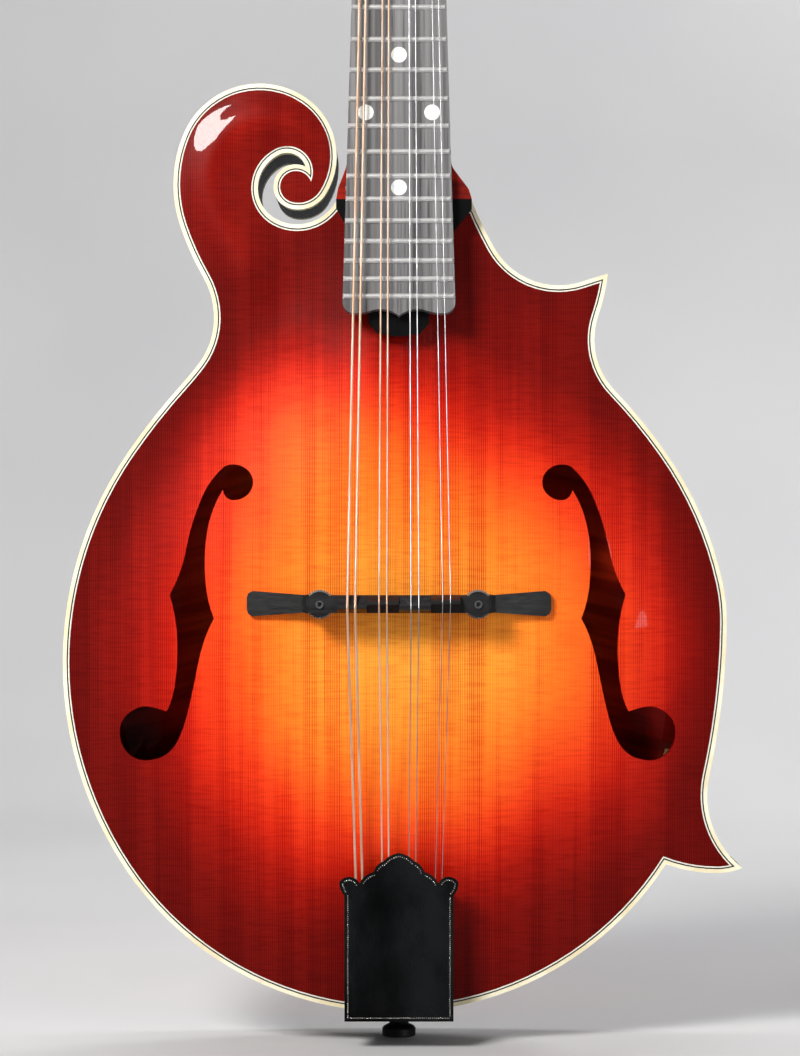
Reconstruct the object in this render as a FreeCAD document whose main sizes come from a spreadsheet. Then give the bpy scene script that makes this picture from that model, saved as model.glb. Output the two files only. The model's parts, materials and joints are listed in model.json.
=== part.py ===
import FreeCAD, Part
import math
import os
import Sketcher
from FreeCAD import Placement, Rotation, Vector

# A carved F-style mandolin. X runs to the treble side, Y to the back, Z up the neck.
# The origin is the centre of the end pin's head, and Y = 0 is the middle of the rim.

DOC = FreeCAD.newDocument("Mandolin")
SHEET = DOC.addObject("Spreadsheet::Sheet", "Sizes")

DRIVING_SIZES = (
    ("rim_bottom", 11.5),
    ("glue_plane", 17.75),
    ("rib_half_depth", 16.25),
    ("binding_height", 6.0),
    ("rib_thickness", 2.5),
    ("ivory_width", 1.5),
    ("purfling_width", 0.5),
    ("lining_width", 4.0),
    ("lining_height", 8.0),
    ("plate_edge", 4.5),
    ("top_arch", 11.5),
    ("back_arch", 10.5),
    ("plate_thickness", 3.8),
    ("scroll_ridge", 3.4),
    ("neck_join", 322.0),
    ("scale_length", 352.4),
    ("nut_level", 525.0),
    ("board_front", 18.0),
    ("neck_tilt", 4.945),
    ("board_thickness", 5.0),
    ("board_nut_half", 14.5),
    ("board_end_half", 21.4),
    ("board_length", 247.9),
    ("fret_width", 2.0),
    ("fret_crown", 1.0),
    ("fret_tang", 0.6),
    ("fret_tang_depth", 2.0),
    ("dot_radius", 3.0),
    ("dot_depth", 1.2),
    ("heel_depth", 22.25),
    ("heel_cap_thickness", 1.5),
    ("head_tilt", 19.4),
    ("head_thickness", 13.5),
    ("veneer_thickness", 1.6),
    ("nut_thickness", 4.5),
    ("bridge_line", 168.3),
    ("bridge_half_length", 57.7),
    ("string_level", 52.75),
    ("string_slope", 0.0963),
    ("saddle_half_length", 35.2),
    ("saddle_foot", 45.6),
    ("saddle_width", 6.4),
    ("wheel_radius", 5.5),
    ("wheel_thickness", 2.6),
    ("wheel_bore", 1.55),
    ("wheel_travel", 1.4),
    ("bridge_post_radius", 1.5),
    ("bridge_post_spread", 29.75),
    ("cover_half_width", 20.6),
    ("cover_front", 38.6),
    ("cover_wall", 0.9),
    ("tail_plate_back", 28.6),
    ("tail_plate_thickness", 1.2),
    ("pin_head_radius", 6.5),
    ("pin_shank_radius", 3.4),
    ("tuner_spacing", 23.1),
    ("tuner_first", 40.0),
    ("post_offset", 15.5),
    ("tuner_post_radius", 3.1),
    ("gear_teeth", 14.0),
    ("worm_pitch", 2.0),
    ("worm_radius", 2.45),
    ("shaft_radius", 1.45),
    ("running_gap", 0.05),
    ("rod_radius", 2.4),
)


def fill_sheet():
    for row, (alias, value) in enumerate(DRIVING_SIZES, start=1):
        SHEET.set("A%d" % row, alias)
        SHEET.set("B%d" % row, str(value))
        SHEET.setAlias("B%d" % row, alias)
    DOC.recompute()


fill_sheet()


def size(alias):
    return float(SHEET.get(alias))


def bind(item, prop, formula):
    item.setExpression(prop, formula)


def cell(alias):
    return "Sizes." + alias


SUB_PARTS = []


def keep(item, label):
    item.Label = label
    SUB_PARTS.append(item)
    return item


def feature(label, shape, placement=None):
    made = DOC.addObject("Part::Feature", label)
    made.Shape = shape
    if placement is not None:
        made.Placement = placement
    return keep(made, label)


# Sizes worked out from the driving ones.

PLATE_BACK = size("glue_plane")
RIM_HALF = size("rib_half_depth") + size("binding_height")
BINDING_WIDTH = size("ivory_width") + 2 * size("purfling_width")
LINING_INNER = BINDING_WIDTH + size("lining_width")
NECK_JOIN = size("neck_join")
GAP = size("running_gap")
FAR = 400.0


# Plane outlines, made of arcs that run on smoothly from one another.


class Arc:
    """A circular arc in the X-Z plane. radius is positive where the centre is on the left."""

    def __init__(self, start, end, centre, radius):
        self.start = start
        self.end = end
        self.centre = centre
        self.radius = radius

    def angles(self):
        first = math.atan2(self.start[1] - self.centre[1], self.start[0] - self.centre[0])
        last = math.atan2(self.end[1] - self.centre[1], self.end[0] - self.centre[0])
        if self.radius > 0:
            sweep = (last - first) % (2 * math.pi)
        else:
            sweep = -((first - last) % (2 * math.pi))
        return first, sweep

    def heading(self, point):
        turn = 1 if self.radius > 0 else -1
        return (-(point[1] - self.centre[1]) * turn, (point[0] - self.centre[0]) * turn)

    def moved(self, distance):
        """The same arc, carried to the right of its travel."""
        grown = self.radius + distance
        ratio = grown / self.radius
        start = tuple(c + (p - c) * ratio for p, c in zip(self.start, self.centre))
        end = tuple(c + (p - c) * ratio for p, c in zip(self.end, self.centre))
        return Arc(start, end, self.centre, grown)

    def edge(self, level):
        first, sweep = self.angles()
        middle = first + sweep / 2
        reach = abs(self.radius)
        mid = (self.centre[0] + reach * math.cos(middle), self.centre[1] + reach * math.sin(middle))
        points = [Vector(p[0], level, p[1]) for p in (self.start, mid, self.end)]
        return Part.Arc(*points).toShape()

    def distance(self, x, z):
        first, sweep = self.angles()
        away = math.hypot(x - self.centre[0], z - self.centre[1])
        angle = math.atan2(z - self.centre[1], x - self.centre[0])
        along = (angle - first) % (2 * math.pi)
        if sweep < 0:
            along = (first - angle) % (2 * math.pi)
        if along <= abs(sweep):
            return abs(away - abs(self.radius))
        ends = (self.start, self.end)
        return min(math.hypot(x - p[0], z - p[1]) for p in ends)


class Line:
    """A straight piece of an outline in the X-Z plane."""

    def __init__(self, start, end):
        self.start = start
        self.end = end

    def moved(self, distance):
        run = (self.end[0] - self.start[0], self.end[1] - self.start[1])
        length = math.hypot(*run)
        shift = (distance * run[1] / length, -distance * run[0] / length)
        start = (self.start[0] + shift[0], self.start[1] + shift[1])
        end = (self.end[0] + shift[0], self.end[1] + shift[1])
        return Line(start, end)

    def edge(self, level):
        first = Vector(self.start[0], level, self.start[1])
        last = Vector(self.end[0], level, self.end[1])
        return Part.makeLine(first, last)

    def distance(self, x, z):
        run = (self.end[0] - self.start[0], self.end[1] - self.start[1])
        share = ((x - self.start[0]) * run[0] + (z - self.start[1]) * run[1]) / (run[0] ** 2 + run[1] ** 2)
        share = min(1.0, max(0.0, share))
        return math.hypot(x - self.start[0] - share * run[0], z - self.start[1] - share * run[1])


def smooth_run(start, heading, stops):
    """Arcs through the stops, each one leaving in the direction in which the last one arrived."""
    pieces = []
    ahead = (math.cos(math.radians(heading)), math.sin(math.radians(heading)))
    point = start
    for stop in stops:
        chord = (stop[0] - point[0], stop[1] - point[1])
        span = chord[0] ** 2 + chord[1] ** 2
        left = (-ahead[1], ahead[0])
        radius = span / (2 * (chord[0] * left[0] + chord[1] * left[1]))
        centre = (point[0] + radius * left[0], point[1] + radius * left[1])
        pieces.append(Arc(point, stop, centre, radius))
        along = 2 * (ahead[0] * chord[0] + ahead[1] * chord[1]) / span
        ahead = (along * chord[0] - ahead[0], along * chord[1] - ahead[1])
        point = stop
    return pieces


def crossing(first, second, near):
    """Where two pieces, carried on as far as needed, cross nearest to a point."""
    if isinstance(first, Line):
        first, second = second, first
    if isinstance(second, Line):
        run = (second.end[0] - second.start[0], second.end[1] - second.start[1])
        length = math.hypot(*run)
        unit = (run[0] / length, run[1] / length)
        offset = (first.centre[0] - second.start[0], first.centre[1] - second.start[1])
        along = offset[0] * unit[0] + offset[1] * unit[1]
        foot = (second.start[0] + along * unit[0], second.start[1] + along * unit[1])
        reach = first.radius ** 2 - (first.centre[0] - foot[0]) ** 2 - (first.centre[1] - foot[1]) ** 2
        direction = unit
    else:
        between = (second.centre[0] - first.centre[0], second.centre[1] - first.centre[1])
        gap = math.hypot(*between)
        unit = (between[0] / gap, between[1] / gap)
        along = (gap ** 2 + first.radius ** 2 - second.radius ** 2) / (2 * gap)
        foot = (first.centre[0] + along * unit[0], first.centre[1] + along * unit[1])
        reach = first.radius ** 2 - along ** 2
        direction = (-unit[1], unit[0])
    half = math.sqrt(max(0.0, reach))
    choices = [(foot[0] + s * half * direction[0], foot[1] + s * half * direction[1]) for s in (-1, 1)]
    return min(choices, key=lambda p: math.hypot(p[0] - near[0], p[1] - near[1]))


def inset(runs, distance):
    """A closed outline of smooth runs, carried inwards, with its corners mitred."""
    moved = [[piece.moved(distance) for piece in run] for run in runs]
    for index, run in enumerate(moved):
        following = moved[(index + 1) % len(moved)]
        corner = crossing(run[-1], following[0], runs[index][-1].end)
        run[-1].end = corner
        following[0].start = corner
    return [piece for run in moved for piece in run]


def prism(pieces, level, top):
    wire = Part.Wire([piece.edge(level) for piece in pieces])
    return Part.Face(wire).extrude(Vector(0, top - level, 0))


def polygon_prism(points, level, top):
    corners = [Vector(x, level, z) for x, z in points]
    wire = Part.makePolygon(corners + [corners[0]])
    return Part.Face(wire).extrude(Vector(0, top - level, 0))


def curve_edge(points, level):
    curve = Part.BSplineCurve()
    curve.interpolate([Vector(x, level, z) for x, z in points])
    return curve.toShape()


# The body's outline, clockwise as seen from the front: neck corner, upper point, waist,
# lower point, tail, bass side, round the scroll, and back through the scroll's slot.

NECK_CORNER = (27.9, NECK_JOIN)
SLOT_MOUTH = (-24.0, NECK_JOIN)
UPPER_POINT = (80.0, 294.3)
LOWER_POINT = (131.4, 66.95)
POINT_NOTCH = (102.1, 68.3)
SCROLL_TIP = (-35.7, 335.2)

NECK_COVE = smooth_run(NECK_CORNER, -68, ((36.2, 304.5), (70.1, 291.2), UPPER_POINT))
TREBLE_SIDE = smooth_run(UPPER_POINT, -97.5, (
    (76.2, 278.0), (82.5, 249.6), (101.7, 226.3), (123.8, 176.2), (125.4, 160.9),
    (122.1, 120.3), (118.7, 102.1), LOWER_POINT))
POINT_FOOT = smooth_run(LOWER_POINT, 203, ((121.5, 64.95), POINT_NOTCH))
BASS_SIDE = smooth_run(POINT_NOTCH, -122.9, (
    (-104.9, 67.0), (-103.4, 226.3), (-82.8, 252.3), (-76.6, 259.8), (-70.75, 276.5), (-74.9, 293.0)))
SCROLL_HEADING = math.degrees(math.atan2(*reversed(BASS_SIDE[-1].heading(BASS_SIDE[-1].end))))
SCROLL_OUTSIDE = smooth_run(BASS_SIDE[-1].end, SCROLL_HEADING, (
    (-83.65, 312.5), (-82.55, 347.35), (-35.9, 361.7), (-28.1, 324.5), (-41.5, 319.2), SCROLL_TIP))
SLOT_WALL = smooth_run(SCROLL_TIP, 106, (
    (-46.2, 339.7), (-53.9, 328.7), (-47.0, 315.1), (-27.1, 318.0), SLOT_MOUTH))
NECK_SEAT = [Line(SLOT_MOUTH, NECK_CORNER)]

BODY_RUNS = [NECK_COVE, TREBLE_SIDE, POINT_FOOT, BASS_SIDE + SCROLL_OUTSIDE, SLOT_WALL, NECK_SEAT]
# The hollow of the body passes by the two points, which are filled with blocks.
BOWL_RUNS = [NECK_COVE[:-1], [Line(NECK_COVE[-2].end, TREBLE_SIDE[0].end)], TREBLE_SIDE[1:-1],
             [Line(TREBLE_SIDE[-2].end, POINT_NOTCH)], BASS_SIDE, [Line(BASS_SIDE[-1].end, NECK_CORNER)]]

RIDGE_LINE = smooth_run((-43.5, 280.0), 146, (
    (-60.6, 299.1), (-71.1, 318.9), (-71.5, 340.3), (-51.5, 353.7), (-32.9, 346.7), (-27.5, 335.0)))


def body_prism(distance, level, top):
    return prism(inset(BODY_RUNS, distance), level, top)


def band(outer, inner, level, top, runs):
    whole = prism(inset(runs, outer), level, top)
    return whole.cut(prism(inset(runs, inner), level - 1, top + 1))


# Carved plates. Their height above the glue plane is a formula of X and Z.

ARCH_START = 8.0
ARCH_FULL = 82.0
ARCH_CENTRE = (0.0, 165.0)
ARCH_RADIUS = 150.0
DOME_SHARE = 0.22
EDGE_SOFTNESS = 0.35
RIDGE_HALF_WIDTH = 8.5
RIDGE_FADE = 24.0
GRID_STEP = 5.0


def ease(value, low, high):
    share = min(1.0, max(0.0, (value - low) / (high - low)))
    return share * share * (3 - 2 * share)


def edge_distance(x, z):
    nearest = [min(piece.distance(x, z) for piece in run) for run in BODY_RUNS]
    closest = min(nearest)
    total = sum(math.exp(-EDGE_SOFTNESS * (d - closest)) for d in nearest)
    return closest - math.log(total) / EDGE_SOFTNESS


def plate_height(x, z, arch):
    inside = edge_distance(x, z)
    out = math.hypot(x - ARCH_CENTRE[0], z - ARCH_CENTRE[1]) / ARCH_RADIUS
    dome = 1 - DOME_SHARE * out * out
    ridge = min(piece.distance(x, z) for piece in RIDGE_LINE)
    fade = ease(math.hypot(x - RIDGE_LINE[0].start[0], z - RIDGE_LINE[0].start[1]), 0, RIDGE_FADE)
    crest = size("scroll_ridge") * fade * math.exp(-(ridge / RIDGE_HALF_WIDTH) ** 2)
    raised = arch * dome * ease(inside, ARCH_START, ARCH_FULL)
    return size("plate_edge") + raised + crest * ease(inside, 2, 11)


def hollow_height(x, z, arch):
    inside = edge_distance(x, z)
    thickness = size("plate_thickness") + 2.2 * (1 - ease(inside, ARCH_START, 26))
    return plate_height(x, z, arch) - thickness


def carved_block(formula, arch, side):
    """Everything behind a carved surface. side is -1 for the top and 1 for the back."""
    columns = int((146 + 142) / GRID_STEP) + 1
    rows = int((376 - 2) / GRID_STEP) + 1
    grid = []
    for column in range(columns):
        x = -142 + column * GRID_STEP
        line = []
        for row in range(rows):
            z = 2 + row * GRID_STEP
            line.append(Vector(x, side * (PLATE_BACK + formula(x, z, arch)), z))
        grid.append(line)
    surface = Part.BSplineSurface()
    surface.interpolate(grid)
    return surface.toShape().extrude(Vector(0, -side * 60, 0))


TOP_OUTER = carved_block(plate_height, size("top_arch"), -1)
TOP_INNER = carved_block(hollow_height, size("top_arch"), -1)
BACK_OUTER = carved_block(plate_height, size("back_arch"), 1)
BACK_INNER = carved_block(hollow_height, size("back_arch"), 1)
CAVITY_END = 288.0


def cavity_prism(low, high):
    bowl = prism(inset(BOWL_RUNS, LINING_INNER), low, high)
    above = Part.makeBox(FAR, high - low + 2, FAR, Vector(-FAR / 2, low - 1, CAVITY_END))
    return bowl.cut(above)


# The sound holes: two balls joined by a waisted stem, mirrored about the middle.

HOLE_MIDDLE = -0.5
HOLE_UPPER_BALL = ((66.2, 211.4), (62.6, 207.6), (59.0, 208.1), (55.4, 211.2), (54.7, 215.6),
                   (57.2, 219.5), (61.7, 221.2), (65.8, 220.4))
HOLE_INNER_STEM = ((69.3, 162.5), (71.8, 170.8), (72.9, 180.7), (72.7, 190.7), (71.0, 200.5),
                   (69.4, 205.2), (66.2, 211.4))
HOLE_OUTER_STEM = ((65.8, 220.4), (69.2, 216.9), (72.1, 212.9), (76.1, 203.9), (79.0, 194.5),
                   (81.1, 184.8), (84.5, 175.4), (86.5, 171.5))
HOLE_OUTER_LOWER = ((86.5, 171.5), (84.1, 161.1), (83.4, 151.2), (83.9, 141.2), (85.7, 131.5), (87.6, 127.0))
HOLE_LOWER_BALL = ((87.6, 127.0), (92.0, 128.3), (96.9, 128.8), (101.4, 126.9), (104.8, 123.3),
                   (105.8, 118.6), (104.6, 113.6), (101.6, 109.9), (97.4, 108.2), (92.6, 108.6))
HOLE_INNER_LOWER = ((92.6, 108.6), (88.0, 110.4), (84.5, 113.9), (82.2, 118.2), (80.5, 122.9),
                    (79.2, 127.7), (77.0, 137.4), (75.0, 147.2), (72.1, 156.7), (69.3, 162.5))
HOLE_CURVES = (HOLE_INNER_STEM, HOLE_UPPER_BALL, HOLE_OUTER_STEM, HOLE_OUTER_LOWER, HOLE_LOWER_BALL,
               HOLE_INNER_LOWER)


def sound_hole(side):
    edges = []
    for curve in HOLE_CURVES:
        placed = [(HOLE_MIDDLE + side * (x - HOLE_MIDDLE), z) for x, z in curve]
        edges.append(curve_edge(placed, -60))
    wire = Part.Wire(Part.sortEdges(edges)[0])
    return Part.Face(wire).extrude(Vector(0, 50, 0))


def make_plates():
    top = body_prism(BINDING_WIDTH, -60, -PLATE_BACK).common(TOP_OUTER)
    top = top.cut(cavity_prism(-60, -PLATE_BACK + 1).common(TOP_INNER))
    for side in (-1, 1):
        top = top.cut(sound_hole(side))
    feature("top_plate", top)
    back = body_prism(BINDING_WIDTH, PLATE_BACK, 60).common(BACK_OUTER)
    back = back.cut(cavity_prism(PLATE_BACK - 1, 60).common(BACK_INNER))
    feature("back_plate", back)


# The rim: ribs, linings, blocks and the bound edges.

HEAD_BLOCK_PLAN = ((-100, CAVITY_END), (46, CAVITY_END), (46, 380), (-100, 380))
UPPER_BLOCK_PLAN = ((46, 300), (90, 300), (90, 256), (75, 256))
LOWER_BLOCK_PLAN = ((84, 50), (140, 50), (140, 110), (105, 110))
TAIL_BLOCK_PLAN = ((-32, 0), (32, 0), (32, 36), (-32, 36))
BLOCK_PLANS = (HEAD_BLOCK_PLAN, UPPER_BLOCK_PLAN, LOWER_BLOCK_PLAN, TAIL_BLOCK_PLAN)

TENON_ROOT = 12.0
TENON_TIP = 15.5
TENON_DEPTH = 20.0
TENON_FRONT = -15.5
TENON_BACK = 13.0
SCREW_RADIUS = 1.2


def tenon():
    plan = ((-TENON_ROOT, NECK_JOIN), (-TENON_TIP, NECK_JOIN - TENON_DEPTH),
            (TENON_TIP, NECK_JOIN - TENON_DEPTH), (TENON_ROOT, NECK_JOIN))
    return polygon_prism(plan, TENON_FRONT, TENON_BACK)


def pin_bore():
    return Part.makeCylinder(size("pin_shank_radius"), 24, Vector(0, 0, 9), Vector(0, 0, 1))


TAIL_SCREWS = ((-12.0, -6.0), (12.0, -6.0), (0.0, 11.5))


def tail_screw_shanks():
    shanks = []
    for x, y in TAIL_SCREWS:
        shanks.append(Part.makeCylinder(SCREW_RADIUS, 13, Vector(x, y, size("rim_bottom") - 0.5)))
    return shanks


def make_rim():
    level = size("rib_half_depth")
    ribs = band(0, size("rib_thickness"), -level, level, BODY_RUNS)
    ribs = ribs.cut(tenon()).cut(pin_bore())
    for shank in tail_screw_shanks():
        ribs = ribs.cut(shank)
    feature("ribs", ribs)
    rings = []
    for low, high in ((-PLATE_BACK, -PLATE_BACK + size("lining_height")),
                      (PLATE_BACK - size("lining_height"), PLATE_BACK)):
        ring = band(BINDING_WIDTH, LINING_INNER, low, high, BOWL_RUNS)
        for plan in BLOCK_PLANS:
            ring = ring.cut(polygon_prism(plan, -30, 30))
        rings.append(ring)
    feature("linings", Part.makeCompound([solid for ring in rings for solid in ring.Solids]))
    inside = body_prism(BINDING_WIDTH, -PLATE_BACK, PLATE_BACK)
    head = inside.common(polygon_prism(HEAD_BLOCK_PLAN, -30, 30)).cut(tenon())
    feature("head_block", head)
    points = [inside.common(polygon_prism(plan, -30, 30)) for plan in (UPPER_BLOCK_PLAN, LOWER_BLOCK_PLAN)]
    feature("point_blocks", Part.makeCompound([solid for block in points for solid in block.Solids]))
    tail = inside.common(polygon_prism(TAIL_BLOCK_PLAN, -30, 30)).cut(pin_bore())
    for shank in tail_screw_shanks():
        tail = tail.cut(shank)
    feature("tail_block", tail)


def make_tone_bars():
    bars = []
    for side, top_x, foot_x in ((-1, 24, 44), (1, 22, 40)):
        top = side * top_x
        foot = side * foot_x
        plan = ((top - 3, 262), (top + 3, 262), (foot + 3, 82), (foot - 3, 82))
        bar = polygon_prism(plan, -60, 0).common(TOP_INNER)
        profile = [Vector(-90, y, z) for y, z in ((-60, 262), (-22.0, 262), (-17.5, 210), (-15.5, 172),
                                                  (-17.5, 130), (-22.0, 82), (-60, 82))]
        side_shape = Part.Face(Part.makePolygon(profile + [profile[0]])).extrude(Vector(180, 0, 0))
        bars.append(bar.common(side_shape))
    feature("tone_bars", Part.makeCompound([solid for bar in bars for solid in bar.Solids]))


def make_bindings():
    ivory = size("ivory_width")
    black = ivory + size("purfling_width")
    low = size("rib_half_depth")
    for prefix, first, last in (("top", -RIM_HALF, -low), ("back", low, RIM_HALF)):
        feature(prefix + "_binding", band(0, ivory, first, last, BODY_RUNS))
        feature(prefix + "_purfling_black", band(ivory, black, first, last, BODY_RUNS))
        feature(prefix + "_purfling_white", band(black, BINDING_WIDTH, first, last, BODY_RUNS))


# The neck's own frame: origin on the board's front at the nut, Z up the board, Y to the back.

NECK_FRAME = Placement(Vector(0, -size("board_front"), size("nut_level")),
                       Rotation(Vector(1, 0, 0), -size("neck_tilt")))
HEAD_START = NECK_FRAME.multVec(Vector(0, size("board_thickness"), size("nut_thickness")))
HEAD_FRAME = Placement(HEAD_START, Rotation(Vector(1, 0, 0), -size("head_tilt")))


def in_frame(shape, frame):
    placed = shape.copy()
    placed.Placement = frame.multiply(placed.Placement)
    return placed


def board_half(down):
    """Half the board's width at a distance below the nut."""
    share = down / size("board_length")
    return size("board_nut_half") + share * (size("board_end_half") - size("board_nut_half"))


def fret_place(number):
    return size("scale_length") * (1 - 2 ** (-number / 12.0))


BOARD_CORNER = 4.5
FRETS = range(1, 21)
SINGLE_DOTS = (3, 5, 7, 10, 15)
DOUBLE_DOT = 12
DOUBLE_DOT_OFFSET = 12.6


def dot_places():
    places = []
    for number in SINGLE_DOTS:
        places.append((0.0, -(fret_place(number - 1) + fret_place(number)) / 2))
    middle = -(fret_place(DOUBLE_DOT - 1) + fret_place(DOUBLE_DOT)) / 2
    places.extend(((-DOUBLE_DOT_OFFSET, middle), (DOUBLE_DOT_OFFSET, middle)))
    return places


def side_dot_places():
    places = []
    for number in SINGLE_DOTS + (DOUBLE_DOT,):
        shifts = (-2.5, 2.5) if number == DOUBLE_DOT else (0.0,)
        for shift in shifts:
            down = (fret_place(number - 1) + fret_place(number)) / 2 + shift
            places.append((-board_half(down), -down))
    return places


def board_outline():
    end = -size("board_length")
    wide = size("board_end_half")
    narrow = size("board_nut_half")
    side_end = end + BOARD_CORNER
    side_half = board_half(-side_end)
    diagonal = BOARD_CORNER * (1 - math.cos(math.radians(45)))
    edges = []
    for side in (-1, 1):
        stops = (((side * side_half, side_end), (side * (wide - diagonal), end + diagonal),
                  (side * (wide - BOARD_CORNER), end)),
                 ((side * (wide - BOARD_CORNER), end), (side * 13.2, end + 0.35), (side * 9.2, end + 1.45)),
                 ((side * 9.2, end + 1.45), (side * 4.2, end + 1.2), (0, end - 0.9)))
        for three in stops:
            edges.append(Part.Arc(*[Vector(x, 0, z) for x, z in three]).toShape())
        edges.append(Part.makeLine(Vector(side * narrow, 0, 0), Vector(side * side_half, 0, side_end)))
    edges.append(Part.makeLine(Vector(-narrow, 0, 0), Vector(narrow, 0, 0)))
    return Part.Wire(Part.sortEdges(edges)[0])


def tang_box(number):
    down = fret_place(number)
    half = board_half(down)
    tang = size("fret_tang")
    return Part.makeBox(2 * half, size("fret_tang_depth"), tang, Vector(-half, 0, -down - tang / 2))


def make_fingerboard():
    board = Part.Face(board_outline()).extrude(Vector(0, size("board_thickness"), 0))
    board = board.cut(Part.makeCompound([tang_box(number) for number in FRETS]))
    board = board.cut(Part.makeCompound(dot_solids() + side_dot_solids()))
    feature("fingerboard", board, NECK_FRAME)


def dot_solids():
    radius = size("dot_radius")
    depth = size("dot_depth")
    back = Vector(0, 1, 0)
    return [Part.makeCylinder(radius, depth, Vector(x, 0, z), back) for x, z in dot_places()]


def side_dot_solids():
    middle = size("board_thickness") / 2
    solids = []
    for x, z in side_dot_places():
        solids.append(Part.makeCylinder(0.9, 2.4, Vector(x - 0.1, middle, z), Vector(1, 0, 0)))
    return solids


def fret(number):
    down = fret_place(number)
    half = board_half(down)
    crown = size("fret_crown")
    width = size("fret_width")
    ends = [Vector(-half, 0, side * width / 2) for side in (-1, 1)]
    arc = Part.Arc(ends[0], Vector(-half, -crown, 0), ends[1]).toShape()
    foot = Part.makeLine(Vector(-half, 0, width / 2), Vector(-half, 0, -width / 2))
    bead = Part.Face(Part.Wire([arc, foot])).extrude(Vector(2 * half, 0, 0))
    slope = crown * 0.7
    ends = [Vector(x, y, -width) for x, y in ((-half, 0.01), (-half + slope, -crown), (half - slope, -crown),
                                              (half, 0.01))]
    envelope = Part.Face(Part.makePolygon(ends + [ends[0]])).extrude(Vector(0, 0, 2 * width))
    bead = bead.common(envelope)
    bead.translate(Vector(0, 0, -down))
    return bead.fuse(tang_box(number)).removeSplitter()


def make_frets_and_dots():
    feature("frets", Part.makeCompound([fret(number) for number in FRETS]), NECK_FRAME)
    feature("position_dots", Part.makeCompound(dot_solids()), NECK_FRAME)
    feature("side_dots", Part.makeCompound(side_dot_solids()), NECK_FRAME)


RISER_PLAN = ((-20.3, 312.0), (-23.9, 318.5), (-23.9, NECK_JOIN), (27.7, NECK_JOIN), (27.7, 318.0),
              (20.3, 309.0), (20.3, 282.0), (11.5, 279.0), (11.5, 274.5), (8.0, 270.6), (0.0, 269.4),
              (-8.0, 270.6), (-11.5, 274.5), (-11.5, 279.0), (-20.3, 282.0))


def under_board():
    """Everything behind the board's glued face."""
    block = Part.makeBox(FAR, FAR, FAR * 2, Vector(-FAR / 2, size("board_thickness"), -FAR))
    return in_frame(block, NECK_FRAME)


def make_riser():
    riser = polygon_prism(RISER_PLAN, -60, -RIM_HALF - 0.02).common(under_board()).cut(TOP_OUTER)
    feature("fingerboard_riser", max(riser.Solids, key=lambda solid: solid.Volume))


# The neck: sections through the heel and the shaft, from the body up to the nut.

HEEL_ROUND = 333.0
HEEL_TOP = 370.0
NECK_STATIONS = (322, 326, 330, 333, 335, 338, 342, 347, 353, 361, 370, 400, 440, 480, 514, 524)
SECTION_POINTS = 24


def heel_share(level):
    if level <= HEEL_ROUND:
        return 1.0
    if level >= HEEL_TOP:
        return 0.0
    return (1 - (level - HEEL_ROUND) / (HEEL_TOP - HEEL_ROUND)) ** 2.3


def shoulder_half(level, side):
    """Half the neck's width at the board, with the flare where it meets the body."""
    down = (size("nut_level") - level) / math.cos(math.radians(size("neck_tilt")))
    half = board_half(down)
    flare = 27.8 if side > 0 else 23.9
    if level >= 337:
        return half - 0.05
    rise = ease(337 - level, 0, 15)
    return half - 0.05 + rise * (flare - half)


def neck_front(level):
    slope = math.tan(math.radians(size("neck_tilt")))
    back = size("board_thickness") / math.cos(math.radians(size("neck_tilt")))
    return -size("board_front") - slope * (size("nut_level") - level) + back


def neck_section(level):
    front = neck_front(level)
    shaft = 14.6 + 2.0 * (size("nut_level") - level) / (size("nut_level") - HEEL_TOP)
    share = heel_share(level)
    depth = shaft + share * (size("heel_depth") - front - shaft)
    power = 2.2 + 7.0 * share
    taper = 0.52 * share
    points = []
    for index in range(SECTION_POINTS + 1):
        angle = math.pi * index / SECTION_POINTS
        side = 1 if angle < math.pi / 2 else -1
        reach = math.sin(angle) ** (2 / power)
        out = abs(math.cos(angle)) ** (2 / power)
        narrowing = 1 - taper * (1 - (1 - reach) ** 1.5)
        across = side * shoulder_half(level, side) * out * narrowing
        points.append(Vector(across, front + depth * reach, level))
    curve = Part.BSplineCurve()
    curve.interpolate(points)
    return Part.Wire([curve.toShape(), Part.makeLine(points[-1], points[0])])


HEAD_CURVE = (
    ((14.5, 0.0), (18.5, 8.0), (27.0, 14.0)),
    ((27.0, 14.0), (33.5, 17.5), (38.5, 25.5)),
    ((38.5, 25.5), (34.3, 48.0), (32.6, 74.0)),
    ((32.6, 74.0), (31.6, 100.0), (34.5, 126.0)),
    ((34.5, 126.0), (38.0, 134.5), (43.5, 141.0)),
    ((43.5, 141.0), (36.0, 149.0), (27.5, 144.0)),
    ((27.5, 144.0), (17.0, 141.0), (13.0, 151.0)),
    ((13.0, 151.0), (14.0, 162.0), (24.5, 163.5)),
    ((24.5, 163.5), (8.0, 176.5), (-12.0, 170.0)),
    ((-12.0, 170.0), (-24.0, 161.0), (-25.0, 145.0)),
    ((-25.0, 145.0), (-34.0, 146.0), (-41.0, 139.0)),
    ((-41.0, 139.0), (-35.5, 133.0), (-33.8, 124.0)),
    ((-33.8, 124.0), (-31.6, 100.0), (-32.6, 74.0)),
    ((-32.6, 74.0), (-34.3, 48.0), (-38.5, 25.5)),
    ((-38.5, 25.5), (-33.5, 17.5), (-27.0, 14.0)),
    ((-27.0, 14.0), (-18.5, 8.0), (-14.5, 0.0)),
)


def head_wire(level=0.0):
    edges = [Part.Arc(*[Vector(x, level, z) for x, z in three]).toShape() for three in HEAD_CURVE]
    edges.append(Part.makeLine(Vector(-14.5, level, 0), Vector(14.5, level, 0)))
    return Part.Wire(Part.sortEdges(edges)[0])


def tuner_places():
    """Post places in the headstock's frame, bass side then treble side, nut end first."""
    places = []
    for side in (-1, 1):
        for index in range(4):
            places.append((side * size("post_offset"), size("tuner_first") + index * size("tuner_spacing")))
    return places


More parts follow.
